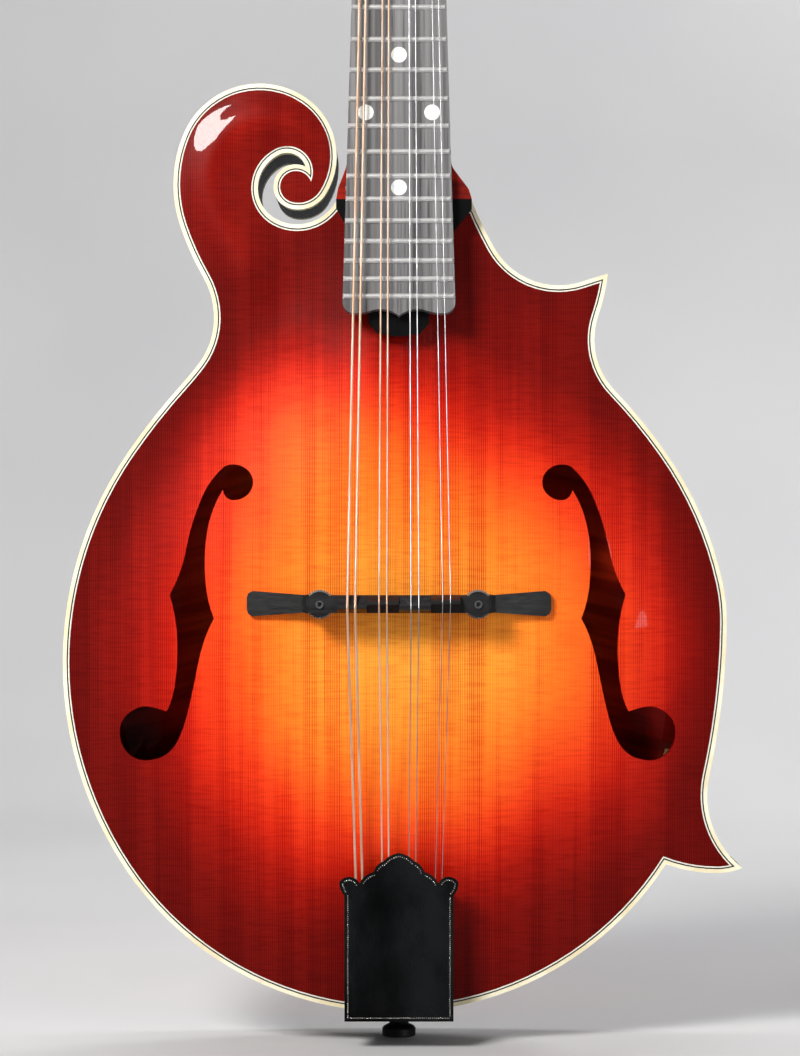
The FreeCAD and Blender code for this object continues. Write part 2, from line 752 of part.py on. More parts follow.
def head_bores(radius, first, depth):
    back = Vector(0, 1, 0)
    return [Part.makeCylinder(radius, depth, Vector(x, first, z), back) for x, z in tuner_places()]


ROD_DEPTH = 7.5
ROD_LOW = -200.0
ROD_HIGH = 7.0
POCKET_HALF = 4.6
POCKET_LENGTH = 19.5


def rod_middle():
    return size("board_thickness") + ROD_DEPTH


def truss_pocket():
    """The opening at the nut end of the headstock that gives the truss nut its room."""
    deep = rod_middle() + POCKET_HALF + 4
    corner = Vector(-POCKET_HALF, -4, size("nut_thickness") + 0.3)
    pocket = Part.makeBox(2 * POCKET_HALF, deep, POCKET_LENGTH, corner)
    return in_frame(pocket, NECK_FRAME)


def rod_channel():
    """The round-ended groove under the board, wide enough for the rod and its filler strip."""
    half = size("rod_radius")
    length = ROD_HIGH - ROD_LOW
    channel = Part.makeBox(2 * half, 2 * half, length, Vector(-half, rod_middle() - half, ROD_LOW))
    slot_length = size("nut_thickness") + 0.2 - ROD_LOW
    slot = Part.makeBox(2 * half, ROD_DEPTH, slot_length, Vector(-half, size("board_thickness"), ROD_LOW))
    return in_frame(channel.fuse(slot), NECK_FRAME)


def neck_cutters():
    bores = head_bores(size("tuner_post_radius") + 0.25, -1, 30)
    pilots = plate_screw_shanks() + cover_screw_shanks()
    return [rod_channel(), truss_pocket()] + [in_frame(cutter, HEAD_FRAME) for cutter in bores + pilots]


def head_throat():
    """Joins the shaft to the tilted headstock behind the nut."""
    top = size("nut_level") + size("nut_thickness") + 6
    throat = Part.makeLoft([neck_section(NECK_STATIONS[-1]), neck_section(top)], True, True)
    front_of_head = Part.makeBox(FAR, FAR, FAR, Vector(-FAR / 2, -FAR, -2))
    above_nut = Part.makeBox(FAR, FAR, FAR, Vector(-FAR / 2, -FAR / 2, HEAD_START.z))
    return throat.cut(in_frame(front_of_head, HEAD_FRAME).common(above_nut))


def make_neck():
    shaft = Part.makeLoft([neck_section(level) for level in NECK_STATIONS], True, False)
    cap_front = size("heel_depth") - size("heel_cap_thickness")
    cap_box = Part.makeBox(FAR, 20, 50, Vector(-FAR / 2, cap_front, NECK_JOIN - 1))
    cap = shaft.common(cap_box)
    head = in_frame(Part.Face(head_wire()).extrude(Vector(0, size("head_thickness"), 0)), HEAD_FRAME)
    pieces = [shaft.cut(cap_box), head_throat(), head]
    for cutter in neck_cutters():
        pieces = [piece.cut(cutter) for piece in pieces]
    wood = pieces[0].fuse(pieces[1:] + [tenon()])
    feature("neck", max(wood.Solids, key=lambda solid: solid.Volume))
    feature("heel_cap", max(cap.Solids, key=lambda solid: solid.Volume))


def make_truss_rod():
    rod = DOC.addObject("Part::Cylinder", "truss_rod")
    bind(rod, "Radius", cell("rod_radius") + " - 0.02")
    rod.Height = ROD_HIGH - ROD_LOW + 5
    rod.Placement = NECK_FRAME.multiply(Placement(Vector(0, rod_middle(), ROD_LOW), Rotation()))
    keep(rod, "truss_rod")


# Headstock faces, nut and the small cover over the truss nut.


def make_head_faces():
    thickness = size("veneer_thickness")
    outline = head_wire(-thickness)
    inner = Part.Face(outline.makeOffset2D(-size("ivory_width"))).extrude(Vector(0, thickness, 0))
    floor = Part.makeBox(FAR, FAR, 60, Vector(-FAR / 2, -FAR / 2, -60 + 0.35))
    clearing = in_frame(truss_pocket(), HEAD_FRAME.inverse())
    bores = head_bores(size("tuner_post_radius") + 0.25, -5, 10)
    veneer = inner.cut(Part.makeCompound(bores + cover_screw_shanks())).cut(clearing).cut(floor)
    ring = Part.Face(outline).extrude(Vector(0, thickness, 0)).cut(inner).cut(clearing).cut(floor)
    feature("headstock_veneer", max(veneer.Solids, key=lambda solid: solid.Volume), HEAD_FRAME)
    feature("headstock_binding", Part.makeCompound(ring.Solids), HEAD_FRAME)


# Strings: each course is a pair. Order: G, D, A, E from bass to treble.

COURSES = (
    ("strings_g", 0.49, (-19.3, -16.35), (-12.6, -10.5), 0.9),
    ("strings_d", 0.33, (-7.45, -4.5), (-5.6, -3.5), -0.6),
    ("strings_a", 0.20, (4.5, 7.45), (3.5, 5.6), 1.3),
    ("strings_e", 0.15, (16.35, 19.3), (10.5, 12.6), -0.9),
)
TAIL_SPREAD = 0.82
HOOK_LEVEL = 47.0
HOOK_FRONT = -31.9
NUT_STRING_FRONT = -1.25
COIL_FRONT = -6.0
COIL_TURNS = 3
WRAP_SWELL = 1.12


def course_posts(name):
    places = tuner_places()
    chosen = {"strings_g": (0, 1), "strings_d": (2, 3), "strings_a": (7, 6), "strings_e": (5, 4)}[name]
    return [places[index] for index in chosen]


def string_stations(radius, bridge_x, nut_x, compensation, post):
    """The corners of one string's path: hook, saddle, nut, coil."""
    hook = Vector(bridge_x * TAIL_SPREAD, HOOK_FRONT - radius, HOOK_LEVEL)
    saddle = Vector(bridge_x, -size("string_level") - radius, size("bridge_line") - compensation)
    nut = NECK_FRAME.multVec(Vector(nut_x, NUT_STRING_FRONT + 0.4 - radius, size("nut_thickness") / 2))
    side = 1 if post[0] < 0 else -1
    reach = size("tuner_post_radius") + 2 * GAP + radius * WRAP_SWELL
    coil = HEAD_FRAME.multVec(Vector(post[0] + side * reach, COIL_FRONT, post[1]))
    return hook, saddle, nut, coil


def rod_between(first, last, radius):
    run = last.sub(first)
    return Part.makeCylinder(radius, run.Length, first, run)


def string_solid(radius, stations, post):
    """One string, with the wraps round its post as separate rings."""
    hook, saddle, nut, coil = stations
    wrap = radius * WRAP_SWELL
    reach = size("tuner_post_radius") + 2 * GAP + wrap
    rings = []
    for turn in range(COIL_TURNS):
        centre = Vector(post[0], COIL_FRONT + turn * wrap * 2.1, post[1])
        rings.append(in_frame(Part.makeTorus(reach, wrap, centre, Vector(0, 1, 0)), HEAD_FRAME))
    swells = ((1.3, hook), (1.06, saddle), (1.06, nut))
    bends = [Part.makeSphere(radius * swell, place) for swell, place in swells]
    rods = [rod_between(saddle, nut, radius), rod_between(nut, coil, radius)]
    run = rod_between(hook, saddle, radius).fuse(rods + bends + rings[:1])
    return run.Solids + rings[1:]


def all_strings(extra=0.0):
    """Every string as (course, solid), with its radius grown by extra for cutting notches."""
    made = []
    for name, radius, bridge_xs, nut_xs, compensation in COURSES:
        for bridge_x, nut_x, post in zip(bridge_xs, nut_xs, course_posts(name)):
            stations = string_stations(radius, bridge_x, nut_x, compensation, post)
            made.append((name, radius + extra, stations, post))
    return made


def make_strings():
    groups = {}
    for name, radius, stations, post in all_strings():
        groups.setdefault(name, []).extend(string_solid(radius, stations, post))
    for name, solids in groups.items():
        feature(name, Part.makeCompound(solids))


def string_notches():
    cutters = []
    for _, radius, stations, _ in all_strings(GAP):
        hook, saddle, nut, _ = stations
        cutters.append(rod_between(hook, saddle, radius))
        cutters.append(rod_between(saddle, nut, radius))
        cutters.append(Part.makeSphere(radius, saddle))
    return Part.makeCompound(cutters)


def make_nut():
    """The strings lie on its front edge and fall away behind it."""
    half = size("board_nut_half")
    deep = size("board_thickness")
    thick = size("nut_thickness")
    crest = NUT_STRING_FRONT + 0.45
    profile = [Vector(-half, y, z) for y, z in (
        (deep, 0), (crest + 0.3, 0), (crest, 0.5), (crest, thick * 0.52), (crest + 1.2, thick),
        (deep, thick))]
    blank = Part.Face(Part.makePolygon(profile + [profile[0]])).extrude(Vector(2 * half, 0, 0))
    feature("nut", blank, NECK_FRAME)


# The bridge: a footed base, two threaded posts, two thumbwheels and the saddle they carry.

BASE_WING_HALF = 4.8
BASE_WAIST_HALF = 3.3
WING_NECK = 33.0
SADDLE_BOSS = 4.8
NOTCH_DEPTH = 0.12
SOCKET_HALF = 0.8
SOCKET_DEPTH = 1.8


def bridge_base_plan():
    reach = size("bridge_half_length")
    mid = size("bridge_line")
    points = []
    for side_x, side_z in ((1, 1), (1, -1), (-1, -1), (-1, 1)):
        run = ((BASE_WAIST_HALF, 0.0), (BASE_WAIST_HALF, WING_NECK - 8), (3.9, WING_NECK - 4.0),
               (3.9, WING_NECK - 2.0), (BASE_WAIST_HALF, WING_NECK + 3), (BASE_WING_HALF, reach - 2.2),
               (BASE_WING_HALF - 1.0, reach - 0.5), (BASE_WING_HALF - 2.6, reach))
        places = [(side_x * along, mid + side_z * half) for half, along in run]
        if side_x * side_z < 0:
            places.reverse()
        points.extend(places)
    unique = [p for index, p in enumerate(points) if p != points[index - 1]]
    return unique


def make_bridge():
    reach = size("bridge_half_length")
    spread = size("bridge_post_spread")
    mid = size("bridge_line")
    low = -size("saddle_foot") + size("wheel_thickness") + 0.1 + size("wheel_travel") + 0.3
    elevation = [Vector(x, y, mid - 10) for x, y in (
        (-reach, -25), (-reach, -34.6), (-WING_NECK - 4, -38.6), (-WING_NECK, low), (WING_NECK, low),
        (WING_NECK + 4, -38.6), (reach, -34.6), (reach, -25), (17, -25), (15, -34.5), (9, -36.6), (0, -37.2),
        (-9, -36.6), (-15, -34.5), (-17, -25))]
    side_shape = Part.Face(Part.makePolygon(elevation + [elevation[0]])).extrude(Vector(0, 0, 20))
    base = polygon_prism(bridge_base_plan(), -60, -20).common(side_shape).cut(TOP_OUTER)
    posts = []
    for side in (-1, 1):
        top = Vector(side * spread, -50.3, mid)
        post = Part.makeCylinder(size("bridge_post_radius"), 12.6, top, Vector(0, 1, 0))
        base = base.cut(post)
        socket = Part.makeBox(2 * SOCKET_HALF, SOCKET_DEPTH, 2 * SOCKET_HALF,
                              top - Vector(SOCKET_HALF, 0, SOCKET_HALF))
        posts.append(post.cut(socket))
    feature("bridge_base", max(base.Solids, key=lambda solid: solid.Volume))
    feature("bridge_posts", Part.makeCompound(posts))


def saddle_segment(first, last, crest_z, top):
    half = size("saddle_width") / 2
    mid = size("bridge_line")
    points = [Vector(first, y, z) for y, z in (
        (-47.0, mid - half), (-50.2, mid - half), (top, crest_z - 0.7), (top, crest_z + 0.7),
        (-50.2, mid + half), (-47.0, mid + half))]
    return Part.Face(Part.makePolygon(points + [points[0]])).extrude(Vector(last - first, 0, 0))


def make_saddle():
    mid = size("bridge_line")
    half = size("saddle_width") / 2
    reach = size("saddle_half_length")
    spread = size("bridge_post_spread")
    foot = -size("saddle_foot")
    bar_points = [Vector(x, y, mid - half) for x, y in (
        (-reach, foot), (-reach, -48.6), (-reach + 1.5, -49.6), (reach - 1.5, -49.6), (reach, -48.6),
        (reach, foot), (22, foot), (19, -47.0), (-19, -47.0), (-22, foot))]
    saddle = Part.Face(Part.makePolygon(bar_points + [bar_points[0]])).extrude(Vector(0, 0, 2 * half))
    top = -size("string_level") - NOTCH_DEPTH
    limits = (-23.0, -12.0, 0.0, 12.0, 23.0)
    for (_, _, _, _, compensation), first, last in zip(COURSES, limits, limits[1:]):
        saddle = saddle.fuse(saddle_segment(first, last, mid - compensation, top))
    for side in (-1, 1):
        boss = Part.makeCylinder(SADDLE_BOSS, -foot - 46.0 + 4.2, Vector(side * spread, foot, mid), Vector(0, -1, 0))
        saddle = saddle.fuse(boss)
    for side in (-1, 1):
        top_of_bore = Vector(side * spread, -60, mid)
        bore = Part.makeCylinder(size("bridge_post_radius") + GAP, 20, top_of_bore, Vector(0, 1, 0))
        saddle = saddle.cut(bore)
    saddle = saddle.cut(string_notches()).removeSplitter()
    feature("bridge_saddle", max(saddle.Solids, key=lambda solid: solid.Volume))


def plane_of(owner, role):
    return [item for item in owner.Origin.OriginFeatures if item.Role == role][0]


def new_body(name, placement):
    made = DOC.addObject("PartDesign::Body", name)
    made.Placement = placement
    return keep(made, name)


def new_sketch(owner, name, role):
    made = owner.newObject("Sketcher::SketchObject", name)
    made.AttachmentSupport = [(plane_of(owner, role), "")]
    made.MapMode = "FlatFace"
    return made


def add_circle(sketch, x, y, alias):
    index = sketch.addGeometry(Part.Circle(Vector(x, y, 0), Vector(0, 0, 1), size(alias)))
    mark = sketch.addConstraint(Sketcher.Constraint("Radius", index, size(alias)))
    sketch.setExpression("Constraints[%d]" % mark, cell(alias))
    return index


def make_thumbwheel(name, side):
    """A knurled disc on the XZ plane of its own body, with its bore along Y."""
    place = Vector(side * size("bridge_post_spread"), -size("saddle_foot") + size("wheel_thickness") + 0.1,
                   size("bridge_line"))
    body = new_body(name, Placement(place, Rotation()))
    disc = new_sketch(body, name + "_disc", "XZ_Plane")
    add_circle(disc, 0, 0, "wheel_radius")
    add_circle(disc, 0, 0, "wheel_bore")
    pad = body.newObject("PartDesign::Pad", name + "_pad")
    pad.Profile = disc
    bind(pad, "Length", cell("wheel_thickness"))
    DOC.recompute()
    notch = new_sketch(body, name + "_notch", "XZ_Plane")
    notch.addGeometry(Part.Circle(Vector(size("wheel_radius") + 0.15, 0, 0), Vector(0, 0, 1), 0.38))
    pocket = body.newObject("PartDesign::Pocket", name + "_pocket")
    pocket.Profile = notch
    pocket.Type = 1
    pocket.Reversed = True
    DOC.recompute()
    pattern = body.newObject("PartDesign::PolarPattern", name + "_knurl")
    pattern.Originals = [pocket]
    pattern.Axis = (disc, ["N_Axis"])
    pattern.Angle = 360
    pattern.Occurrences = 28
    body.Tip = pattern
    DOC.recompute()


# The tailpiece: a hooked plate on the edge, a pressed cover that slides over it, and the end pin.

COVER_CREST = (
    ((-20.6, 58.0), (-22.0, 60.2), (-22.6, 62.9)),
    ((-22.6, 62.9), (-18.9, 65.2), (-14.9, 62.7)),
    ((-14.9, 62.7), (-12.8, 65.4), (-9.6, 67.0)),
    ((-9.6, 67.0), (-8.2, 69.5), (-5.9, 71.0)),
    ((-5.9, 71.0), (-3.3, 73.1), (0.0, 74.2)),
    ((0.0, 74.2), (3.3, 73.1), (5.9, 71.0)),
    ((5.9, 71.0), (8.2, 69.5), (9.6, 67.0)),
    ((9.6, 67.0), (12.8, 65.4), (14.9, 62.7)),
    ((14.9, 62.7), (18.9, 65.2), (22.6, 62.9)),
    ((22.6, 62.9), (22.0, 60.2), (20.6, 58.0)),
)
COVER_FOOT = 10.5
COVER_FLANGE = 28.0


def make_tailpiece():
    half = size("cover_half_width")
    front = -size("cover_front")
    wall = size("cover_wall")
    edges = [Part.Arc(*[Vector(x, front, z) for x, z in three]).toShape() for three in COVER_CREST]
    corners = [Vector(half, front, 58.0), Vector(half, front, COVER_FOOT), Vector(-half, front, COVER_FOOT),
               Vector(-half, front, 58.0)]
    edges.extend(Part.makeLine(first, last) for first, last in zip(corners, corners[1:]))
    face = Part.Face(Part.Wire(Part.sortEdges(edges)[0])).extrude(Vector(0, wall, 0))
    deep = size("cover_front") - COVER_FLANGE
    for side in (-1, 1):
        left = half - wall if side > 0 else -half
        face = face.fuse(Part.makeBox(wall, deep, 58.0 - COVER_FOOT, Vector(left, front, COVER_FOOT)))
    foot_wall = Part.makeBox(2 * half, deep - 2.4, wall, Vector(-half, front, COVER_FOOT))
    cover = face.fuse(foot_wall).removeSplitter()
    feature("tailpiece_cover", cover)
    make_tail_base(half - wall - 0.2)


def make_tail_base(half):
    back = -size("tail_plate_back")
    thick = size("tail_plate_thickness")
    foot = size("rim_bottom")
    plate = Part.makeBox(2 * half, thick, 59 - foot + thick, Vector(-half, back - thick, foot - thick))
    fold = Part.makeBox(2 * half, size("tail_plate_back") + 17, thick, Vector(-half, back, foot - thick))
    round_off = Part.makeCylinder(18, 10, Vector(0, 0, foot - 5))
    below = Part.makeBox(2 * half + 2, 40, 10, Vector(-half - 1, 0, foot - 5))
    fold = fold.cut(below.cut(round_off))
    base = plate.fuse(fold)
    for _, radius, stations, _ in all_strings():
        root = Vector(stations[0].x, back - thick + 0.2, HOOK_LEVEL - 2.6)
        base = base.fuse(Part.makeCylinder(0.8, 3.9 + radius * 2, root, Vector(0, -1, 0)))
    bar = Part.makeBox(2 * half - 4, 1.6, 2.0, Vector(-half + 2, back - thick - 1.6, 56.0))
    base = base.fuse(bar)
    base = base.cut(pin_bore())
    for shank in tail_screw_shanks():
        base = base.cut(shank.copy().translate(Vector(0, 0, -1)))
    base = base.cut(body_prism(0, -RIM_HALF, RIM_HALF))
    feature("tailpiece_base", max(base.Solids, key=lambda solid: solid.Volume))
    screws = []
    for x, y in TAIL_SCREWS:
        level = foot - thick
        shank = Part.makeCylinder(SCREW_RADIUS, 11.5, Vector(x, y, level), Vector(0, 0, 1))
        head = Part.makeCone(2.6, 1.6, 1.5, Vector(x, y, level), Vector(0, 0, -1))
        drive = Part.makeBox(5, 0.5, 0.6, Vector(x - 2.5, y - 0.25, level - 1.6))
        screws.append(shank.fuse(head).cut(drive))
    feature("tailpiece_screws", Part.makeCompound(screws))


PIN_PROFILE = ((0.0, -0.3), (6.2, -0.3), (6.5, 0.0), (6.5, 2.6), (5.9, 3.4), (3.9, 4.4), (3.4, 5.6),
               (3.5, 7.0), (4.6, 8.6), (6.0, 10.2), (3.4, 10.2), (3.4, 31.0), (3.0, 32.0), (0.0, 32.0))


def make_end_pin():
    body = new_body("end_pin", Placement())
    profile = new_sketch(body, "end_pin_profile", "XZ_Plane")
    points = [Vector(r, z, 0) for r, z in PIN_PROFILE]
    for first, last in zip(points, points[1:] + points[:1]):
        profile.addGeometry(Part.LineSegment(first, last))
    count = len(points)
    for index in range(count):
        profile.addConstraint(Sketcher.Constraint("Coincident", index, 2, (index + 1) % count, 1))
    turned = body.newObject("PartDesign::Revolution", "end_pin_turned")
    turned.Profile = profile
    turned.ReferenceAxis = (profile, ["V_Axis"])
    turned.Angle = 360
    body.Tip = turned
    DOC.recompute()


# Tuners, in the headstock's frame: worms with buttons turn wheels on the string posts.

GEAR_FRONT = 4.2
GEAR_WIDTH = 2.2
WORM_TURNS = 5
TOOTH = 0.62
TOOTH_OUT = 0.62
TOOTH_IN = 0.8
PLATE_THICKNESS = 1.2
BUTTON_OUT = 50.0


def gear_radius():
    return size("gear_teeth") * size("worm_pitch") / (2 * math.pi)


def worm_drop():
    return gear_radius() + size("worm_radius")


def worm_back():
    return size("head_thickness") + GEAR_FRONT + GEAR_WIDTH / 2


def string_post(x, z):
    back = Vector(0, 1, 0)
    radius = size("tuner_post_radius")
    start = size("head_thickness") + GEAR_FRONT
    stem = Part.makeCylinder(radius, start + 13.5, Vector(x, -13.5, z), back)
    hole = Part.makeCylinder(0.75, 12, Vector(x - 6, -9.6, z), Vector(1, 0, 0))
    stem = stem.cut(hole)
    tip = Part.makeCone(radius, radius - 0.8, 0.8, Vector(x, -13.5, z), Vector(0, -1, 0))
    stem = stem.fuse(tip)
    root = gear_radius() - TOOTH_IN
    tooth_top = gear_radius() + TOOTH_OUT
    wheel = Part.makeCylinder(root, GEAR_WIDTH, Vector(x, start, z), back)
    teeth = []
    count = int(size("gear_teeth"))
    for index in range(count):
        points = [Vector(side * w, start, r) for side, w, r in (
            (-1, TOOTH * 0.75, root - 0.4), (-1, TOOTH * 0.42, tooth_top), (1, TOOTH * 0.42, tooth_top),
            (1, TOOTH * 0.75, root - 0.4))]
        tooth = Part.Face(Part.makePolygon(points + [points[0]])).extrude(Vector(0, GEAR_WIDTH, 0))
        tooth.rotate(Vector(0, 0, 0), back, 180 + 360.0 * index / count)
        tooth.translate(Vector(x, 0, z))
        teeth.append(tooth)
    screw = Part.makeCylinder(2.3, 1.4, Vector(x, start + GEAR_WIDTH, z), back)
    drive = Part.makeBox(5, 0.8, 0.7, Vector(x - 2.5, start + GEAR_WIDTH + 0.9, z - 0.35))
    return stem.fuse([wheel, screw] + teeth).cut(drive).removeSplitter()


def worm_shaft(side, z):
    """Built along Z with the thread's crossing towards +X, then laid along the headstock."""
    pitch = size("worm_pitch")
    length = WORM_TURNS * pitch
    core = size("worm_radius") - TOOTH_IN + 0.05
    out = size("worm_radius") + TOOTH_OUT
    spiral = Part.Wire(Part.makeHelix(pitch, length, core))
    root = core - 0.3
    points = [Vector(root, 0, -0.48), Vector(out, 0, -0.22), Vector(out, 0, 0.22), Vector(root, 0, 0.48)]
    thread = spiral.makePipeShell([Part.makePolygon(points + [points[0]])], True, True)
    middle = length / 2
    offset = size("post_offset")
    body = Part.makeCylinder(core, length + 1.0, Vector(0, 0, -0.5))
    body = body.fuse(thread)
    inner = Part.makeCylinder(size("shaft_radius"), 4, Vector(0, 0, -4))
    outer_length = BUTTON_OUT - offset - (length - middle)
    outer = Part.makeCylinder(size("shaft_radius"), outer_length, Vector(0, 0, length))
    collar = Part.makeCone(2.4, 1.8, 2.4, Vector(0, 0, BUTTON_OUT - offset + middle - 9.4))
    shaft = body.fuse([inner, outer, collar])
    button = tuner_button()
    button.translate(Vector(0, 0, BUTTON_OUT - offset + middle))
    whole = shaft.fuse(button).removeSplitter()
    return whole, shaft_place(side, z, middle)


def shaft_place(side, z, middle):
    """Lays local Z along the shaft (outwards) and local X towards the gear (up the headstock)."""
    outwards = Vector(side, 0, 0)
    gearwards = Vector(0, 0, 1)
    across = outwards.cross(gearwards)
    matrix = FreeCAD.Matrix(gearwards.x, across.x, outwards.x, side * (size("post_offset") - middle),
                            gearwards.y, across.y, outwards.y, worm_back(),
                            gearwards.z, across.z, outwards.z, z - worm_drop(),
                            0, 0, 0, 1)
    return Placement(matrix)


def tuner_button():
    """An oval, rounded grip. Its long side is across the shaft."""
    curve = Part.Ellipse(Vector(0, 0, 0), 8.2, 6.4)
    disc = Part.Face(Part.Wire([curve.toShape()])).extrude(Vector(0, 0, 5.6))
    disc.translate(Vector(0, 0, -2.8))
    disc = disc.makeFillet(2.3, [edge for edge in disc.Edges if edge.Length > 20])
    disc.rotate(Vector(0, 0, 0), Vector(1, 0, 0), 90)
    stem = Part.makeCylinder(2.2, 4.0, Vector(0, 0, -8.0))
    return disc.fuse(stem)


def tuner_plate(side):
    start = size("head_thickness")
    low = size("tuner_first") - 14
    length = 3 * size("tuner_spacing") + 26
    middle = side * (size("post_offset") + 0.5)
    plate = Part.makeBox(13, PLATE_THICKNESS, length, Vector(middle - 6.5, start, low))
    lift = worm_back() - start
    for index in range(4):
        z = size("tuner_first") + index * size("tuner_spacing")
        for along in (-6.9, 6.9):
            lug_x = side * (size("post_offset") + along) - 1.0
            lug = Part.makeBox(2.0, lift + 2.4, 4.6, Vector(lug_x, start, z - worm_drop() - 2.3))
            plate = plate.fuse(lug)
    for index in range(4):
        z = size("tuner_first") + index * size("tuner_spacing")
        post_x = side * size("post_offset")
        shaft_end = Vector(post_x - 15, worm_back(), z - worm_drop())
        bore = Part.makeCylinder(size("shaft_radius") + GAP, 30, shaft_end, Vector(1, 0, 0))
        post_start = Vector(post_x, start - 1, z)
        hole = Part.makeCylinder(size("tuner_post_radius") + 0.1, 5, post_start, Vector(0, 1, 0))
        plate = plate.cut(bore).cut(hole)
    for x, z in plate_screw_places(side):
        plate = plate.cut(Part.makeCylinder(0.9, 5, Vector(x, start - 1, z), Vector(0, 1, 0)))
    return plate.removeSplitter()


def plate_screw_places(side):
    low = size("tuner_first") - 14
    places = [(side * (size("post_offset") + 0.5), low + 2.6)]
    for index in range(3):
        level = size("tuner_first") + (index + 0.32) * size("tuner_spacing")
        places.append((side * (size("post_offset") + 5.2), level))
    places.append((side * (size("post_offset") + 0.5), low + 3 * size("tuner_spacing") + 23.6))
    return places


def plate_screw_shanks():
    start = size("head_thickness") + PLATE_THICKNESS - 8
    places = plate_screw_places(-1) + plate_screw_places(1)
    return [Part.makeCylinder(0.9, 8, Vector(x, start, z), Vector(0, 1, 0)) for x, z in places]


def make_tuners(cover_screws):
    for index, (x, z) in enumerate(tuner_places(), start=1):
        feature("string_post_%d" % index, string_post(x, z), HEAD_FRAME)
        shape, place = worm_shaft(1 if x > 0 else -1, z)
        feature("worm_shaft_%d" % index, shape, HEAD_FRAME.multiply(place))
    feature("tuner_plate_bass", tuner_plate(-1), HEAD_FRAME)
    feature("tuner_plate_treble", tuner_plate(1), HEAD_FRAME)
    start = size("head_thickness")
    screws = []
    for side in (-1, 1):
        for x, z in plate_screw_places(side):
            head = Part.makeCone(1.7, 1.0, 0.9, Vector(x, start + PLATE_THICKNESS, z), Vector(0, 1, 0))
            screws.append(head)
    screws = [head.fuse(shank) for head, shank in zip(screws, plate_screw_shanks())]
    feature("headstock_screws", Part.makeCompound(screws + cover_screws), HEAD_FRAME)
    rings = []
    front = -size("veneer_thickness")
    for x, z in tuner_places():
        collar = Part.makeCylinder(4.6, 1.1, Vector(x, front - 1.1, z), Vector(0, 1, 0))
        back = Vector(0, 1, 0)
        bore = Part.makeCylinder(size("tuner_post_radius") + GAP, 12, Vector(x, front - 3, z), back)
        sleeve = Part.makeCylinder(size("tuner_post_radius") + 0.2, 6, Vector(x, front - 1.1, z), back)
        rings.append(collar.fuse(sleeve).cut(bore))
    feature("post_ferrules", Part.makeCompound(rings), HEAD_FRAME)


# The truss nut and its cover.


def make_truss_fittings():
    start = ROD_HIGH + 5.1
    body = Part.makeCylinder(2.9, 6.0, Vector(0, rod_middle(), start))
    corners = [math.radians(60 * k) for k in range(7)]
    hexagon = [Vector(3.6 * math.cos(a), rod_middle() + 3.6 * math.sin(a), start) for a in corners]
    head = Part.Face(Part.makePolygon(hexagon)).extrude(Vector(0, 0, 4.4))
    feature("truss_nut", head.fuse(body).removeSplitter(), NECK_FRAME)
    front = -size("veneer_thickness")
    edges = []
    for three in COVER_BELL:
        edges.append(Part.Arc(*[Vector(x, front - 1.5, z) for x, z in three]).toShape())
    edges.append(Part.makeLine(Vector(-7.5, front - 1.5, 2.0), Vector(7.5, front - 1.5, 2.0)))
    plate = Part.Face(Part.Wire(Part.sortEdges(edges)[0])).extrude(Vector(0, 1.5, 0))
    screws = []
    for shank, (x, z) in zip(cover_screw_shanks(), COVER_SCREWS):
        head = Part.makeCone(1.5, 0.9, 0.8, Vector(x, front - 1.5, z), Vector(0, -1, 0))
        screws.append(shank.fuse(head))
    feature("truss_cover", plate.cut(Part.makeCompound(cover_screw_shanks())), HEAD_FRAME)
    return screws


def cover_screw_shanks():
    front = -size("veneer_thickness") - 1.5
    return [Part.makeCylinder(0.8, 9, Vector(x, front, z), Vector(0, 1, 0)) for x, z in COVER_SCREWS]


COVER_BELL = (
    ((7.5, 2.0), (8.6, 12.0), (6.6, 20.0)),
    ((6.6, 20.0), (4.2, 24.0), (3.4, 28.0)),
    ((3.4, 28.0), (0.0, 31.0), (-3.4, 28.0)),
    ((-3.4, 28.0), (-4.2, 24.0), (-6.6, 20.0)),
    ((-6.6, 20.0), (-8.6, 12.0), (-7.5, 2.0)),
)
COVER_SCREWS = ((-6.2, 4.4), (6.2, 4.4), (0.0, 27.6))


def write_steps():
    DOC.recompute()
    for item in DOC.Objects:
        state = [mark for mark in item.State if mark in ("Invalid", "Error")]
        if state:
            raise RuntimeError("%s did not build: %s" % (item.Label, state))
    os.makedirs("parts", exist_ok=True)
    for item in SUB_PARTS:
        if item.Shape.isNull() or not item.Shape.isValid():
            raise RuntimeError("%s has a bad shape" % item.Label)
        item.Shape.exportStep(os.path.join("parts", item.Label + ".step"))


make_plates()
make_rim()
make_tone_bars()
make_bindings()
make_fingerboard()
make_frets_and_dots()
make_riser()
make_neck()
make_truss_rod()
make_head_faces()
make_nut()
make_strings()
make_bridge()
make_saddle()
make_thumbwheel("thumbwheel_bass", -1)
make_thumbwheel("thumbwheel_treble", 1)
make_tailpiece()
make_end_pin()
make_tuners(make_truss_fittings())
write_steps()
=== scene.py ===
import bmesh
import bpy
import json
import math
import numpy as np
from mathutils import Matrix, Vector, geometry
from mathutils.bvhtree import BVHTree


